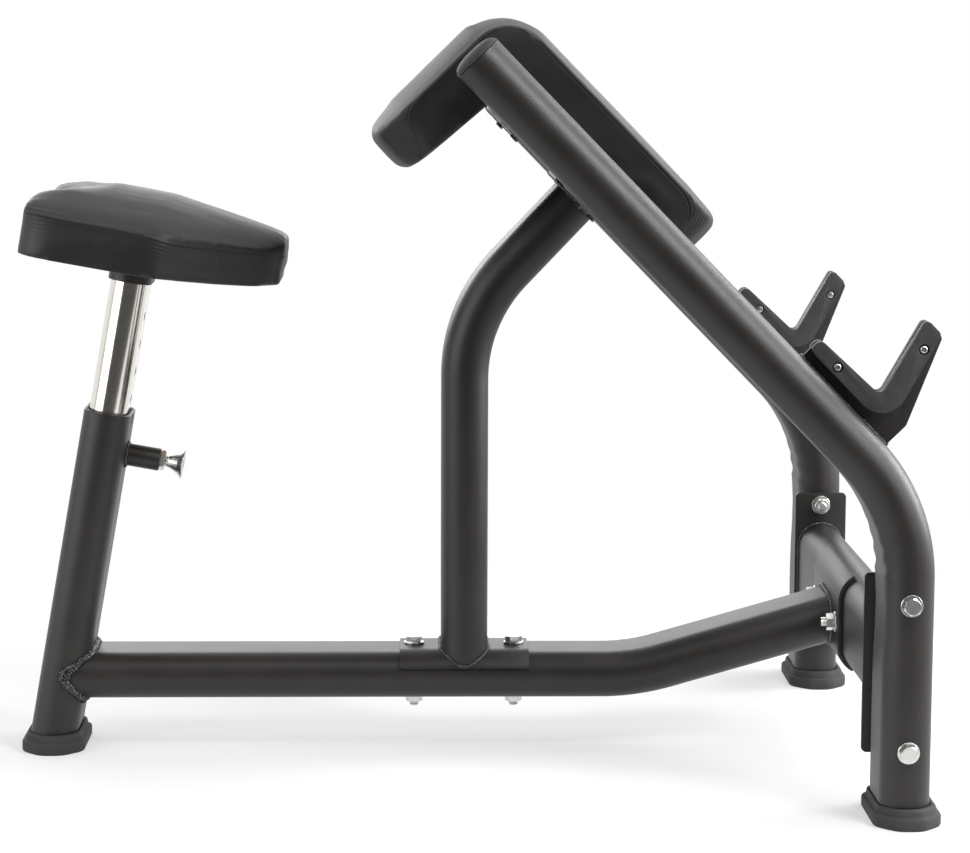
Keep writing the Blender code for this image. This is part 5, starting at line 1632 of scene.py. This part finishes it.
@dataclass
class FrontPost:
    """Leaning sleeve with its bushing and the housing of the pull pin."""

    welder: Welder
    top: float = 0.447
    slot_low: float = 0.432
    slot_high: float = 0.446
    boss_radius: float = 0.0145
    boss_bore: float = 0.0105
    boss_end: float = 0.074
    bushing_thick: float = 0.0486
    bushing_wide: float = 0.0966
    bushing_length: float = 0.145
    pin_bore: float = 0.0056

    def build(self) -> None:
        """Make the sleeve, bushing, boss and ferrule."""
        stations = upright(BENCH.foot_z / math.cos(BENCH.lean), self.top, 12)
        sleeve = Tube(stations, start_cut=self._on_floor, edge=0.8 * MM).mesh()
        slot = block((0.02, -0.005, self.slot_low), (0.04, 0.005, self.slot_high))
        hole = placed(rod(self.boss_bore, 0.018, 0.05, 40, Axis.X), shifted(0.0, 0.0, BENCH.pin_z))
        put("sleeve_tube", cut(sleeve, [slot, hole]), Finishes.POWDER, ["front_post"], BENCH.post_frame())
        self._bushing()
        self._boss()

    @staticmethod
    def _on_floor(corner: Vector) -> Vector:
        """Slide a point along the post to the level of the cap's floor."""
        height = (BENCH.foot_z + corner.x * math.sin(BENCH.lean)) / math.cos(BENCH.lean)
        return Vector((corner.x, corner.y, height))

    def _bushing(self) -> None:
        """Plastic bushing with a rounded lip inside the sleeve's rim."""
        outer = (BENCH.thick - 2 * BENCH.wall, BENCH.wide - 2 * BENCH.wall)
        inner = (self.bushing_thick, self.bushing_wide)
        levels = [
            (outer, -0.6, -0.6, 1000 * self.bushing_length),
            (outer, -0.6, -0.6, 1.2),
            (outer, -1.4, -1.4, 0.4),
            (outer, -3.0, -3.4, 0.2),
            (inner, 1.0, 2.0, 0.8),
            (inner, 0.1, 0.1, 2.2),
            (inner, 0.1, 0.1, 1000 * self.bushing_length),
        ]
        rings = [oval_ring(a + x * MM, b + y * MM, self.top - down * MM) for (a, b), x, y, down in levels]
        put("sleeve_bushing", loft(rings, Ends.JOINED), Finishes.PLUG, ["post_bushing"], BENCH.post_frame())

    def _boss(self) -> None:
        """Housing welded to the sleeve, and the plated ferrule in its end."""
        place = BENCH.post_frame(BENCH.pin_z)
        face, end, radius, bore = BENCH.radius - 1.5 * MM, self.boss_end, self.boss_radius, self.boss_bore
        soft = 1.1 * MM
        profile = [(bore, face), (radius, face), (radius, end - soft)]
        profile += [(radius - 0.35 * soft, end - 0.35 * soft), (radius - soft, end)]
        profile += [(bore + 0.4 * MM, end), (bore, end - 0.4 * MM), (bore, face)]
        put("pin_housing", turned(profile, 56, Axis.X), Finishes.POWDER, ["pin_boss"], place)
        x, out = BENCH.radius + 0.9 * MM, radius + 0.9 * MM
        ring = [place @ Vector((x, out * math.cos(angle), out * math.sin(angle))) for angle in around(48)]
        self.welder.lay("pin_housing", ring, droplet=2.2 * MM)
        hexagon = HexHardware(across=0.0225).hexagon(end + 0.2 * MM, BENCH.nut_end, True, self.pin_bore)
        hexagon.transform(rotated(math.pi / 2, "Y"))
        low, high, thin, wide = end - 0.008, end + GAP, self.pin_bore, 0.0100
        barrel = turned([(thin, low), (wide, low), (wide, high), (thin, high), (thin, low)], 40, Axis.X)
        ferrule = joined([outward(hexagon), barrel])
        put("pin_ferrule", ferrule, Finishes.ZINC, ["pin_nut"], place, FASTENER)


@dataclass
class PullPin:
    """Spring-loaded pin with its flared knob."""

    neck: float = 0.084
    cone: float = 0.097
    end: float = 0.104
    radius: float = 0.0195

    def build(self) -> None:
        """Make the knob, and finish the shaft and spring that stay."""
        neck, cone, end, radius, start = self.neck, self.cone, self.end, self.radius, BENCH.nut_end
        profile = [(0.0, start + 1.0 * MM), (0.0072, start + 1.0 * MM), (0.0080, start + 1.6 * MM)]
        profile += [(0.0074, neck - 0.6 * MM), (0.0072, neck), (0.0080, neck + 1.2 * MM)]
        for share in swing(0.0, 1.0, 8)[1:]:
            profile.append((0.0080 + 0.0062 * share**1.25, neck + 1.2 * MM + (cone - neck) * share))
        profile += [(0.0158, cone + 2.6 * MM), (0.0176, cone + 4.4 * MM)]
        for inset, rise in ((0.5, -1.2), (0.0, -0.3), (0.2, 0.5), (1.2, 0.8), (2.6, 0.1)):
            profile.append((radius - inset * MM, end + rise * MM))
        profile += [(0.0130, cone + 4.6 * MM), (0.0060, cone + 3.6 * MM), (0.0, cone + 3.3 * MM)]
        knob = turned(profile, 64, Axis.X)
        put("pull_knob", knob, Finishes.ZINC, ["pin_knob"], BENCH.post_frame(BENCH.pin_z), 40.0, Body.PIN)
        dress_node("pin_shaft", Finishes.SPRING)
        dress_node("pin_spring", Finishes.SPRING)


@dataclass
class SeatPost:
    """Chromed tube with its row of holes, and the collar under the seat."""

    thick: float = 0.048
    wide: float = 0.096
    wall: float = 0.003
    low: float = 0.228
    high: float = 0.627
    pitch: float = 0.036
    below: int = 2
    above: int = 5
    hole_radius: float = 0.006
    plate: float = 0.0045
    collar: float = 0.024

    def build(self) -> None:
        """Make the tube with its holes, then the collar and plate."""
        tube = Tube(upright(self.low, self.high, 14), self.thick, self.wide, self.wall, edge=0.4 * MM).mesh()
        drills = []
        for index in range(-self.below, self.above + 1):
            drill = rod(self.hole_radius, 0.010, 0.05, 32, Axis.X)
            drills.append(outward(placed(drill, shifted(0.0, 0.0, BENCH.pin_z + index * self.pitch))))
        post = cut(tube, drills)
        put("chrome_post", post, Finishes.CHROME, ["seat_post"], BENCH.post_frame(), 30.0, Body.SEAT)
        self._collar()

    def _collar(self) -> None:
        """Collar round the tube's top and the plate that the seat is screwed to."""
        top = BENCH.seat_low + 0.7 * MM
        plate_low, low = top - self.plate, BENCH.seat_low - self.collar
        levels = [(0.6, low), (6.0, low), (7.0, low + 0.5 * MM)]
        levels += [(7.0, plate_low - 1.6 * MM), (9.5, plate_low)]
        collar = loft([oval_ring(self.thick + grow * MM, self.wide + grow * MM, z) for grow, z in levels])
        box_low, box_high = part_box("seat_bracket")
        reach = (box_high.y - box_low.y) / 2
        plate = prism([box_outline(reach + 5 * MM, reach, 0.015)], plate_low, top)
        mesh = joined([collar, bevelled(plate, 0.6 * MM, 2)])
        put("seat_collar", mesh, Finishes.POWDER, ["seat_bracket"], BENCH.post_frame(), body=Body.SEAT)


# Cushions


def shell(counts: tuple[int, int, int], shape: Callable[[float, float, float], Vector]) -> Mesh:
    """Skin of a unit box's surface grid, moved by a shape function.

    Args:
        counts: Cells along each axis.
        shape: Place of a grid point, given its shares along the axes.

    Returns:
        The closed mesh.
    """
    index: dict[tuple[int, int, int], int] = {}
    corners: list[Vector] = []

    def corner(key: tuple[int, int, int]) -> int:
        """Number of a grid point, made at its first use."""
        if key not in index:
            index[key] = len(corners)
            corners.append(shape(*(key[axis] / counts[axis] for axis in range(3))))
        return index[key]

    faces = []
    for axis in range(3):
        first, second = [other for other in range(3) if other != axis]
        for level in (0, counts[axis]):
            for i in range(counts[first]):
                for j in range(counts[second]):
                    face = []
                    for di, dj in ((0, 0), (1, 0), (1, 1), (0, 1)):
                        key = [0, 0, 0]
                        key[axis], key[first], key[second] = level, i + di, j + dj
                        face.append(corner(tuple(key)))
                    faces.append(tuple(face))
    mesh = bpy.data.meshes.new("shell")
    mesh.from_pydata(corners, [], faces)
    return outward(mesh)


def crown(share: float, power: float = 2.6) -> float:
    """Height share of a crown at a share of the half-width."""
    return 1.0 - min(1.0, abs(share)) ** power


def round_corner(gap: float, y: float, half: float, radius: float) -> Point:
    """Round a cover's corner in plan by mapping a square to a quarter disc.

    Args:
        gap: Distance to the end edge.
        y: Place across the cover.
        half: The cover's half-width there.
        radius: Radius of the corner.

    Returns:
        How far the point moves off the end edge, and its new place across.
    """
    if gap >= radius or abs(y) <= half - radius:
        return 0.0, y
    first = 1 - gap / radius
    second = (abs(y) - half + radius) / radius
    new_first = first * math.sqrt(1 - second * second / 2)
    new_second = second * math.sqrt(1 - first * first / 2)
    return (first - new_first) * radius, math.copysign(half - radius * (1 - new_second), y)


def smooth_step(value: float, low: float, high: float) -> float:
    """Smooth step from 0 at low to 1 at high."""
    share = min(1.0, max(0.0, (value - low) / (high - low)))
    return share * share * (3 - 2 * share)


def places(mesh: Mesh) -> np.ndarray:
    """Places of a mesh's points, one in each row."""
    points = np.empty(len(mesh.vertices) * 3)
    mesh.vertices.foreach_get("co", points)
    return points.reshape(-1, 3)


@dataclass
class Foam:
    """Foam fill: swells a cover under pressure, as far as its stitching lets it."""

    voxel: float
    slack: Callable[[np.ndarray], np.ndarray]
    pressure: float = 4.0
    frames: int = 20

    def swell(self, mesh: Mesh) -> Mesh:
        """Remesh a cover evenly and blow it up by cloth simulation.

        Args:
            mesh: Closed cover.

        Returns:
            The swollen cover, subdivided once; slack limits how far each of its points has moved.
        """
        item = linked(mesh)
        even = item.modifiers.new("even", "REMESH")
        even.mode = "VOXEL"
        even.voxel_size = self.voxel
        cover = evaluated(item)
        cover = self._simulate(cover)
        return self._refined(cover)

    def _simulate(self, cover: Mesh) -> Mesh:
        """Run the cloth and cap how far each point moves."""
        rest = places(cover)
        item = linked(cover)
        cloth = item.modifiers.new("cloth", "CLOTH")
        cloth.settings.use_pressure = True
        cloth.settings.uniform_pressure_force = self.pressure
        cloth.settings.effector_weights.gravity = 0.0
        cloth.settings.quality = 4
        cloth.settings.mass = 0.4
        cloth.settings.tension_stiffness = 25.0
        cloth.settings.compression_stiffness = 25.0
        cloth.point_cache.frame_start = 1
        cloth.point_cache.frame_end = self.frames
        scene = bpy.context.scene
        for number in range(1, self.frames + 1):
            scene.frame_set(number)
        swollen = item.evaluated_get(bpy.context.evaluated_depsgraph_get())
        moved = places(swollen.to_mesh()) - rest
        swollen.to_mesh_clear()
        length = np.linalg.norm(moved, axis=1)
        limit = self.slack(rest)
        moved *= (limit * np.tanh(length / np.maximum(limit, 1e-6)) / np.maximum(length, 1e-9))[:, None]
        bpy.data.objects.remove(item, do_unlink=True)
        scene.frame_set(1)
        cover.vertices.foreach_set("co", (rest + moved).ravel())
        cover.update()
        return cover

    @staticmethod
    def _refined(cover: Mesh) -> Mesh:
        """Smooth the cover and subdivide it once."""
        item = linked(cover)
        calm = item.modifiers.new("calm", "SMOOTH")
        calm.factor = 0.5
        calm.iterations = 2
        finer = item.modifiers.new("finer", "SUBSURF")
        finer.levels = 1
        finer.render_levels = 1
        return evaluated(item)


def store(mesh: Mesh, name: str, values: Sequence[float]) -> None:
    """Store one number per point on a mesh."""
    attribute = mesh.attributes.new(name, "FLOAT", "POINT")
    attribute.data.foreach_set("value", np.asarray(values, np.float32))


@dataclass
class ArmPad:
    """Hooked arm pad: flat sewn side panels and one crowned wrap panel."""

    half: float = 0.300
    thick: float = 0.0585
    leg_thick: float = 0.0665
    seat: float = BENCH.pad_seat
    low_along: float = 0.399
    front_along: float = 0.736
    leg_drop: float = 0.136
    outer_radius: float = 0.053
    inner_radius: float = 0.006
    crown_top: float = 0.0115
    crown_front: float = 0.0145
    crown_leg: float = 0.026
    crown_low: float = 0.030
    leg_corner: float = 0.045
    low_corner: float = 0.022
    leg_tilt: float = math.radians(4.0)

    def build(self) -> None:
        """Make the cushion and finish its board."""
        cover = shell((96, 60, 10), self._shape)
        cushion = Foam(5 * MM, self._slack).swell(cover)
        self._sew(cushion)
        item = put("arm_cushion", cushion, Finishes.PAD_VINYL, ["arm_pad"], BENCH.slope_frame(), 180.0)
        dress_node("arm_pad_board", Finishes.PLYWOOD)

    def _section(self, path: float) -> tuple[Vector, Vector, Vector]:
        """Outer and inner points of the hook at a path share, with the outward direction."""
        radius = self.outer_radius
        outer_centre = Vector((self.front_along - radius, self.seat + self.thick - radius))
        inner_along = self.front_along - self.leg_thick
        if path <= 0.5:
            share = path / 0.5
            outer = self.low_along + (outer_centre.x - self.low_along) * share
            inner = self.low_along + (inner_along - self.inner_radius - self.low_along) * share
            return Vector((outer, self.seat + self.thick)), Vector((inner, self.seat)), Vector((0.0, 1.0))
        if path <= 0.7:
            angle = (math.pi / 2) * (1 - (path - 0.5) / 0.2)
            way = Vector((math.cos(angle), math.sin(angle)))
            inner_centre = Vector((inner_along - self.inner_radius, self.seat - self.inner_radius))
            return outer_centre + way * self.outer_radius, inner_centre + way * self.inner_radius, way
        share = (path - 0.7) / 0.3
        outer = outer_centre.y - (outer_centre.y + self.leg_drop) * share
        top = self.seat - self.inner_radius
        inner = top - (top + self.leg_drop) * share
        lean = math.tan(self.leg_tilt)
        return (
            Vector((self.front_along, outer)),
            Vector((inner_along - lean * (inner - self.seat), inner)),
            Vector((1.0, 0.0)),
        )

    def _shape(self, path: float, wide: float, thick: float) -> Vector:
        """Place of a point of the cover, in the slope's frame."""
        share = 2 * wide - 1
        outer, inner, way = self._section(path)
        point = inner + (outer - inner) * thick
        blend = min(1.0, max(0.0, (path - 0.5) / 0.2))
        rise = self.crown_top + (self.crown_front - self.crown_top) * blend
        ends = min(1.0, path / 0.05, (1 - path) / 0.05)
        point = point + way * (rise * crown(share) * thick * (0.65 + 0.35 * ends))
        y = self.half * share
        low_end = path * (self.front_along - self.low_along) / 0.5
        if path < 0.5:
            shift, y = round_corner(low_end, y, self.half, self.low_corner)
            point.x += shift
        leg_end = (1 - path) * (self.leg_drop + 0.02) / 0.3
        if path > 0.7:
            shift, y = round_corner(leg_end, y, self.half, self.leg_corner)
            point.y += shift
        middle = 1 - abs(2 * thick - 1) ** 6 * 0.35
        point.y -= self.crown_leg * crown(share, 4.0) * middle * smooth_step(path, 0.97, 1.0)
        point.x -= self.crown_low * crown(share, 6.0) * middle * smooth_step(1 - path, 0.97, 1.0)
        return Vector((-point.x, y, point.y))

    def _slack(self, points: np.ndarray) -> np.ndarray:
        """How far the cover may swell: least at the seam, a little on the side panels."""
        signed = signed_distance(np.stack([-points[:, 0], points[:, 2]], 1), self._seam())
        inward = np.maximum(0.0, self.half - np.abs(points[:, 1]))
        side = 1.6 * MM * np.clip(-signed / 0.03, 0, 1)
        wrap = 1.4 * MM * np.clip(inward / 0.04, 0, 1)
        return np.where(inward < 4 * MM, side, wrap) + 0.2 * MM

    def _seam(self) -> np.ndarray:
        """Outline of the sewn side panel, as (along, height) points; it runs outside the underside."""
        points = [
            (self.low_along + 4 * MM, -0.02),
            (self.low_along + 3 * MM, self.seat + self.thick - 4 * MM),
            (self.front_along - 4 * MM, self.seat + self.thick - 4 * MM),
            (self.front_along - 4 * MM, -self.leg_drop + 0.036),
            (self.front_along - self.leg_thick + 8 * MM, -self.leg_drop + 5 * MM),
            (self.front_along - self.leg_thick - 0.02, -self.leg_drop - 0.02),
            (self.front_along - self.leg_thick - 0.03, -0.02),
        ]
        return np.array(rounded(points, [0.0, 0.040, 0.046, 0.028, 0.0, 0.0, 0.0], 10))

    def _sew(self, mesh: Mesh) -> None:
        """Flatten the underside where it rests, and mark the seam and its gathers."""
        points = places(mesh)
        along, y, height = -points[:, 0], points[:, 1], points[:, 2]
        rests = (height < self.seat + 4 * MM) & (along < self.front_along - self.leg_thick - 4 * MM)
        points[:, 2] = np.where(rests & (height < self.seat), self.seat, height)
        limit = self.half + 4 * MM
        points[:, 1] = np.clip(y, -limit, limit)
        self._pull(points)
        mesh.vertices.foreach_set("co", points.ravel())
        signed = signed_distance(np.stack([along, height], 1), self._seam())
        inward = np.maximum(0.0, self.half - np.abs(y))
        distance = np.where(signed < 0, signed, np.hypot(signed, inward))
        low_end = np.clip(1 - (along - self.low_along) / 0.045, 0, 1)
        ends = low_end + np.clip(1 - (height + self.leg_drop + 0.03) / 0.075, 0, 1)
        near = np.exp(-((inward / 0.055) ** 2)) * (signed > 0)
        store(mesh, "seam_mm", distance / MM)
        store(mesh, "pleat", 0.45 * np.clip(ends, 0, 1) * near)
        mesh.update()

    def _pull(self, points: np.ndarray) -> None:
        """Soft waves that the wrap panel's pull leaves on the foam."""
        for row in points:
            place = Vector(row)
            wave = noise.noise(Vector((place.x * 9, place.y * 14, place.z * 9)))
            fine = noise.noise(Vector((place.x * 30, place.y * 45, place.z * 30)))
            strength = 0.6 * MM if abs(place.y) < self.half - 8 * MM else 0.3 * MM
            if place.z > self.seat + 5 * MM or -place.x > self.front_along - self.leg_thick + 3 * MM:
                row[2] += strength * (wave + 0.35 * fine)
                row[0] += strength * 0.6 * (fine - 0.4 * wave)


def signed_distance(points: np.ndarray, outline: np.ndarray) -> np.ndarray:
    """Distance from points to a closed outline, negative inside it."""
    best = np.full(len(points), 1e9)
    inside = np.zeros(len(points), bool)
    for start, end in zip(outline, np.roll(outline, -1, axis=0)):
        span = end - start
        length = max(float(span @ span), 1e-12)
        share = np.clip((points - start) @ span / length, 0, 1)
        best = np.minimum(best, np.linalg.norm(points - (start + share[:, None] * span), axis=1))
        crosses = (start[1] > points[:, 1]) != (end[1] > points[:, 1])
        with np.errstate(divide="ignore", invalid="ignore"):
            at = start[0] + (points[:, 1] - start[1]) * span[0] / span[1]
        inside ^= crosses & (points[:, 0] < at)
    return np.where(inside, -best, best)


@dataclass
class SeatCushion:
    """Tapered seat with a two-lobed rear edge."""

    back: float = -0.130
    nose: float = 0.190
    wide_at: float = 0.045
    wide_blend: float = 0.018
    half: float = 0.200
    nose_half: float = 0.072
    low: float = BENCH.seat_low
    seam: float = 0.052
    crown_rise: float = 0.0395
    nose_rise: float = 0.007
    lobe: float = 0.012
    corner: float = 0.040
    board_margin: float = 0.020
    board_front: float = 0.115

    def build(self) -> None:
        """Make the cushion and finish its board."""
        cover = shell((64, 80, 10), self._shape)
        cushion = Foam(4 * MM, self._slack).swell(cover)
        self._sew(cushion)
        place = BENCH.post_frame()
        item = put("seat_pad", cushion, Finishes.SEAT_VINYL, ["seat_cushion"], place, 180.0, Body.SEAT)
        dress_node("seat_board", Finishes.PLYWOOD)

    def half_width(self, x: float) -> float:
        """Half-width at a distance from the post's axis."""
        taper = (self.nose_half - self.half) / (self.nose - self.wide_at)
        past, blend = x - self.wide_at, self.wide_blend
        if past <= -blend:
            return self.half
        if past < blend:
            return self.half + taper * (past + blend) ** 2 / (4 * blend)
        return self.half + taper * past

    def _shape(self, path: float, wide: float, thick: float) -> Vector:
        """Place of a point of the cover, in the post's frame."""
        share = 2 * wide - 1
        x = self.back + (self.nose - self.back) * path
        half = self.half_width(x)
        back, front = x - self.back, self.nose - x
        y = half * share
        for gap, radius, way in ((back, self.corner, 1.0), (front, self.corner * 0.55, -1.0)):
            shift, y = round_corner(gap, y, half, radius)
            x += way * shift
        lobe = self.lobe * math.cos(math.pi * share / 0.72) if abs(share) < 0.72 else -self.lobe
        x += (lobe * 0.5 + 0.5 * self.lobe) * max(0.0, 1 - back / 0.10)
        nose_fall = 0.38 + 0.62 * min(1.0, front / 0.155) ** 0.9
        back_fall = 0.45 + 0.55 * min(1.0, back / 0.045) ** 0.5
        dome = crown(share, 2.4) * min(nose_fall, back_fall)
        valley = 0.60 * max(0.0, 1 - (share / 0.55) ** 2) * max(0.0, 1 - back / 0.09)
        under = self.low + self.nose_rise * max(0.0, (x - self.wide_at) / (self.nose - self.wide_at)) ** 3
        top = self.low + self.seam + self.crown_rise * dome * (1 - valley)
        return Vector((x, y, under + (top - under) * thick))

    def _slack(self, points: np.ndarray) -> np.ndarray:
        """How far the cover may swell: least at the seam and at the stapled lower edge."""
        low = np.clip((points[:, 2] - self.low) / 0.02, 0, 1)
        seam = np.clip(np.abs(points[:, 2] - self._seam_height(points[:, 0])) / 0.012, 0, 1)
        return 1.8 * MM * np.minimum(low, seam) + 0.2 * MM

    def _seam_height(self, x: np.ndarray) -> np.ndarray:
        """Height of the seam, which drops toward the nose."""
        share = np.clip((x + 0.01) / 0.08, 0, 1)
        return self.low + self.seam - 0.5 * MM - 7.5 * MM * share * share * (3 - 2 * share)

    def _sew(self, mesh: Mesh) -> None:
        """Flatten the underside, let the board show in it, and mark the seam and its gathers."""
        points = places(mesh)
        for row in points:
            place = Vector(row)
            wave = noise.noise(Vector((place.x * 7, place.y * 14, place.z * 10)))
            fine = noise.noise(Vector((place.x * 24, place.y * 50, place.z * 30)))
            if place.z > self.low + self.seam:
                row[2] += 0.9 * MM * wave + 0.35 * MM * fine
        x, y, z = points[:, 0], points[:, 1], points[:, 2]
        points[:, 2] = np.where(z < self.low, self.low, z)
        outline = np.array(self._board_outline(-2 * MM))
        inside = signed_distance(points[:, :2], outline)
        lift = np.clip(-inside / (3 * MM), 0, 1) * 4 * MM
        points[:, 2] = np.where(points[:, 2] < self.low + 3 * MM, points[:, 2] + lift, points[:, 2])
        mesh.vertices.foreach_set("co", points.ravel())
        distance = z - self._seam_height(x)
        top = distance > 12 * MM
        corner_x, corner_y = self.back + self.corner * 0.35, self.half - self.corner * 0.35
        rear = np.exp(-(((x - corner_x) / 0.045) ** 2)) * np.exp(-(((np.abs(y) - corner_y) / 0.045) ** 2))
        waist = np.exp(-(((x - self.wide_at) / 0.022) ** 2)) * (np.abs(y) > self.half - 0.03)
        store(mesh, "seam_mm", np.where(top, 40.0, distance / MM))
        store(mesh, "pleat", np.clip(rear + 0.8 * waist, 0, 1) * np.exp(-((distance / (17 * MM)) ** 2)))
        mesh.update()

    def _board_outline(self, grow: float) -> Outline:
        """Outline of the board under the seat."""
        half = self.half - self.board_margin + grow
        nose = self.half_width(self.board_front) - self.board_margin + grow
        back = self.back + self.board_margin + self.lobe - grow
        corners = [(back, half), (self.wide_at, half), (self.board_front + grow, nose)]
        outline = [(x, -y) for x, y in corners] + [(x, y) for x, y in corners[::-1]]
        return rounded(outline, [0.03, 0.03, 0.015, 0.015, 0.03, 0.03])

    def staple(self, tree: StapleTree) -> None:
        """Staples round the board's edge."""
        path = [Vector((x, y, self.low + 0.2 * MM)) for x, y in self._board_outline(5 * MM) if x < 0.09]
        sizes = {"Pitch": 26 * MM, "Crown": 10 * MM, "Wire": 1.0 * MM}
        mesh = tree.lay(path, False, sizes, 11, Finishes.ZINC)
        put("seat_staples", mesh, Finishes.ZINC, place=BENCH.post_frame(), body=Body.SEAT)


# Studio


@dataclass(frozen=True)
class Softbox:
    """Soft rectangular lamp that faces the bench: angles in degrees, size in metres, power in watts.

    The azimuth turns from the camera's side to the bench's tall end.
    """

    name: str
    azimuth: float
    elevation: float
    wide: float
    tall: float
    power: float
    reach: float = 3.0
    aim: tuple[float, float, float] = (0.0, 0.0, 0.45)

    def light(self) -> None:
        """Hang the lamp where the camera doesn't see it."""
        turn, rise = math.radians(self.azimuth), math.radians(self.elevation)
        way = Vector((math.sin(turn) * math.cos(rise), -math.cos(turn) * math.cos(rise), math.sin(rise)))
        data = bpy.data.lights.new(self.name, "AREA")
        data.shape = "RECTANGLE"
        data.size = self.wide
        data.size_y = self.tall
        data.energy = self.power
        lamp = linked(data, self.name)
        lamp.location = Vector(self.aim) + way * self.reach
        lamp.rotation_euler = (-way).to_track_quat("-Z", "Y").to_euler()
        lamp.visible_camera = False


@dataclass
class Studio:
    """White sweep and surround, soft lamps and the camera; the sweep ends in front of the bench."""

    lamps: tuple[Softbox, ...] = (
        Softbox("back_strip", 180, 14, 2.6, 0.8, 20),
        Softbox("back_left", -150, 16, 1.2, 0.9, 10),
        Softbox("left_strip", -60, 15, 2.4, 2.0, 52),
        Softbox("front_right", 50, 15, 1.0, 1.3, 21),
        Softbox("right", 75, 15, 1.0, 1.3, 20),
        Softbox("far_right", 100, 15, 1.0, 1.3, 72),
        Softbox("high_right", 90, 62, 1.2, 1.2, 18),
        Softbox("back_right", 120, 31, 1.2, 0.9, 27),
        Softbox("high_front", 0, 54, 1.8, 0.8, 16),
        Softbox("upper_right", 46, 36, 0.9, 0.8, 56),
    )

    eye: tuple[float, float, float] = (-0.05936, -3.64258, 0.89985)
    yaw: float = math.radians(1.5)
    pitch: float = math.radians(7.55)
    roll: float = math.radians(-0.21)
    lens: float = 105.42
    floor_reach: float = 30.0
    floor_front: float = 1.25

    def build(self) -> None:
        """Set the scene round the bench."""
        self._camera()
        self._floor()
        self._world()
        for lamp in self.lamps:
            lamp.light()
        bpy.context.scene.view_settings.view_transform = "Standard"

    def _camera(self) -> None:
        """Camera at the photograph's viewing angle."""
        data = bpy.data.cameras.new("camera")
        data.sensor_width = 36.0
        data.sensor_fit = "HORIZONTAL"
        data.lens = self.lens
        data.clip_end = 200.0
        cos_p, sin_p = math.cos(self.pitch), math.sin(self.pitch)
        ahead = Vector((math.sin(self.yaw) * cos_p, math.cos(self.yaw) * cos_p, -sin_p))
        right = Vector((math.cos(self.yaw), -math.sin(self.yaw), 0.0))
        down = ahead.cross(right)
        rolled = right * math.cos(self.roll) + down * math.sin(self.roll)
        lower = down * math.cos(self.roll) - right * math.sin(self.roll)
        camera = linked(data, "camera")
        turn = Matrix((rolled, -lower, -ahead)).transposed().to_4x4()
        camera.matrix_world = Matrix.Translation(self.eye) @ turn
        bpy.context.scene.camera = camera

    def _floor(self) -> None:
        """White floor that keeps the bench's soft shadow."""
        far, front = self.floor_reach, -self.floor_front
        mesh = bpy.data.meshes.new("floor")
        corners = [(-far, front, 0), (far, front, 0), (far, far, 0), (-far, far, 0)]
        mesh.from_pydata(corners, [], [(0, 1, 2, 3)])
        material = bpy.data.materials.new("white_floor")
        material.use_nodes = True
        graph = Graph(material.node_tree)
        seen = graph.ray("Camera", "Glossy", "Transmission").clamped()
        plain = graph.node("ShaderNodeBsdfDiffuse", {"Color": tone((0.80, 0.80, 0.80))})
        soft = graph.node("ShaderNodeBsdfDiffuse", {"Color": tone((0.44, 0.44, 0.44))})
        glow = graph.node("ShaderNodeEmission", {"Color": WHITE, "Strength": 0.475})
        both = graph.node("ShaderNodeAddShader", {0: soft, 1: glow})
        source = graph.node("ShaderNodeTexCoord").outputs["Object"]
        distance = graph.value("ShaderNodeVectorMath", {0: source}, operation="LENGTH")
        white = graph.node("ShaderNodeEmission", {"Color": WHITE, "Strength": 1.0})
        shown = graph.node("ShaderNodeMixShader", {0: distance.ramp(0.72, 1.35), 1: both, 2: white})
        mix = graph.node("ShaderNodeMixShader", {0: seen, 1: plain, 2: shown})
        graph.node("ShaderNodeOutputMaterial", {"Surface": mix})
        mesh.materials.append(material)
        linked(mesh, "floor")

    def _world(self) -> None:
        """White surround, dimmer on the side where the camera stands."""
        world = bpy.data.worlds.new("studio")
        bpy.context.scene.world = world
        world.use_nodes = True
        graph = Graph(world.node_tree)
        source = graph.node("ShaderNodeTexCoord").outputs["Generated"]
        toward = Value(graph, graph.node("ShaderNodeSeparateXYZ", {0: source}).outputs[1])
        level = toward.ramp(-0.1, 0.35)
        mirror = toward.ramp(-0.42, 0.30)
        camera = graph.ray("Camera")
        glossy = graph.ray("Glossy", "Transmission")
        diffuse = 1.0 - (camera + glossy).clamped()
        strength = camera + glossy.clamped() * (mirror * 0.91 + 0.09) + diffuse * level * 0.85
        back = graph.node("ShaderNodeBackground", {"Color": WHITE, "Strength": strength})
        graph.node("ShaderNodeOutputWorld", {"Surface": back})


def main() -> None:
    """Build the bench piece by piece and light it."""
    logging.basicConfig(level=logging.INFO, format="%(name)s: %(message)s")
    welder = Welder()
    for side in Side:
        SideFrame(side).build()
    CrossMember(welder).build()
    MainBeam(welder).build()
    MiddlePost(welder).build()
    PadSupport(welder).build()
    for side in Side:
        BarHolder(side, welder).build()
    for node in ("foot_cap_near", "foot_cap_far"):
        FootCap(node).build()
    FootCap("foot_cap_front", True).build()
    FrontPost(welder).build()
    PullPin().build()
    SeatPost().build()
    ArmPad().build()
    seat = SeatCushion()
    seat.build()
    seat.staple(StapleTree())
    Studio().build()


if __name__ == "__main__":
    main()
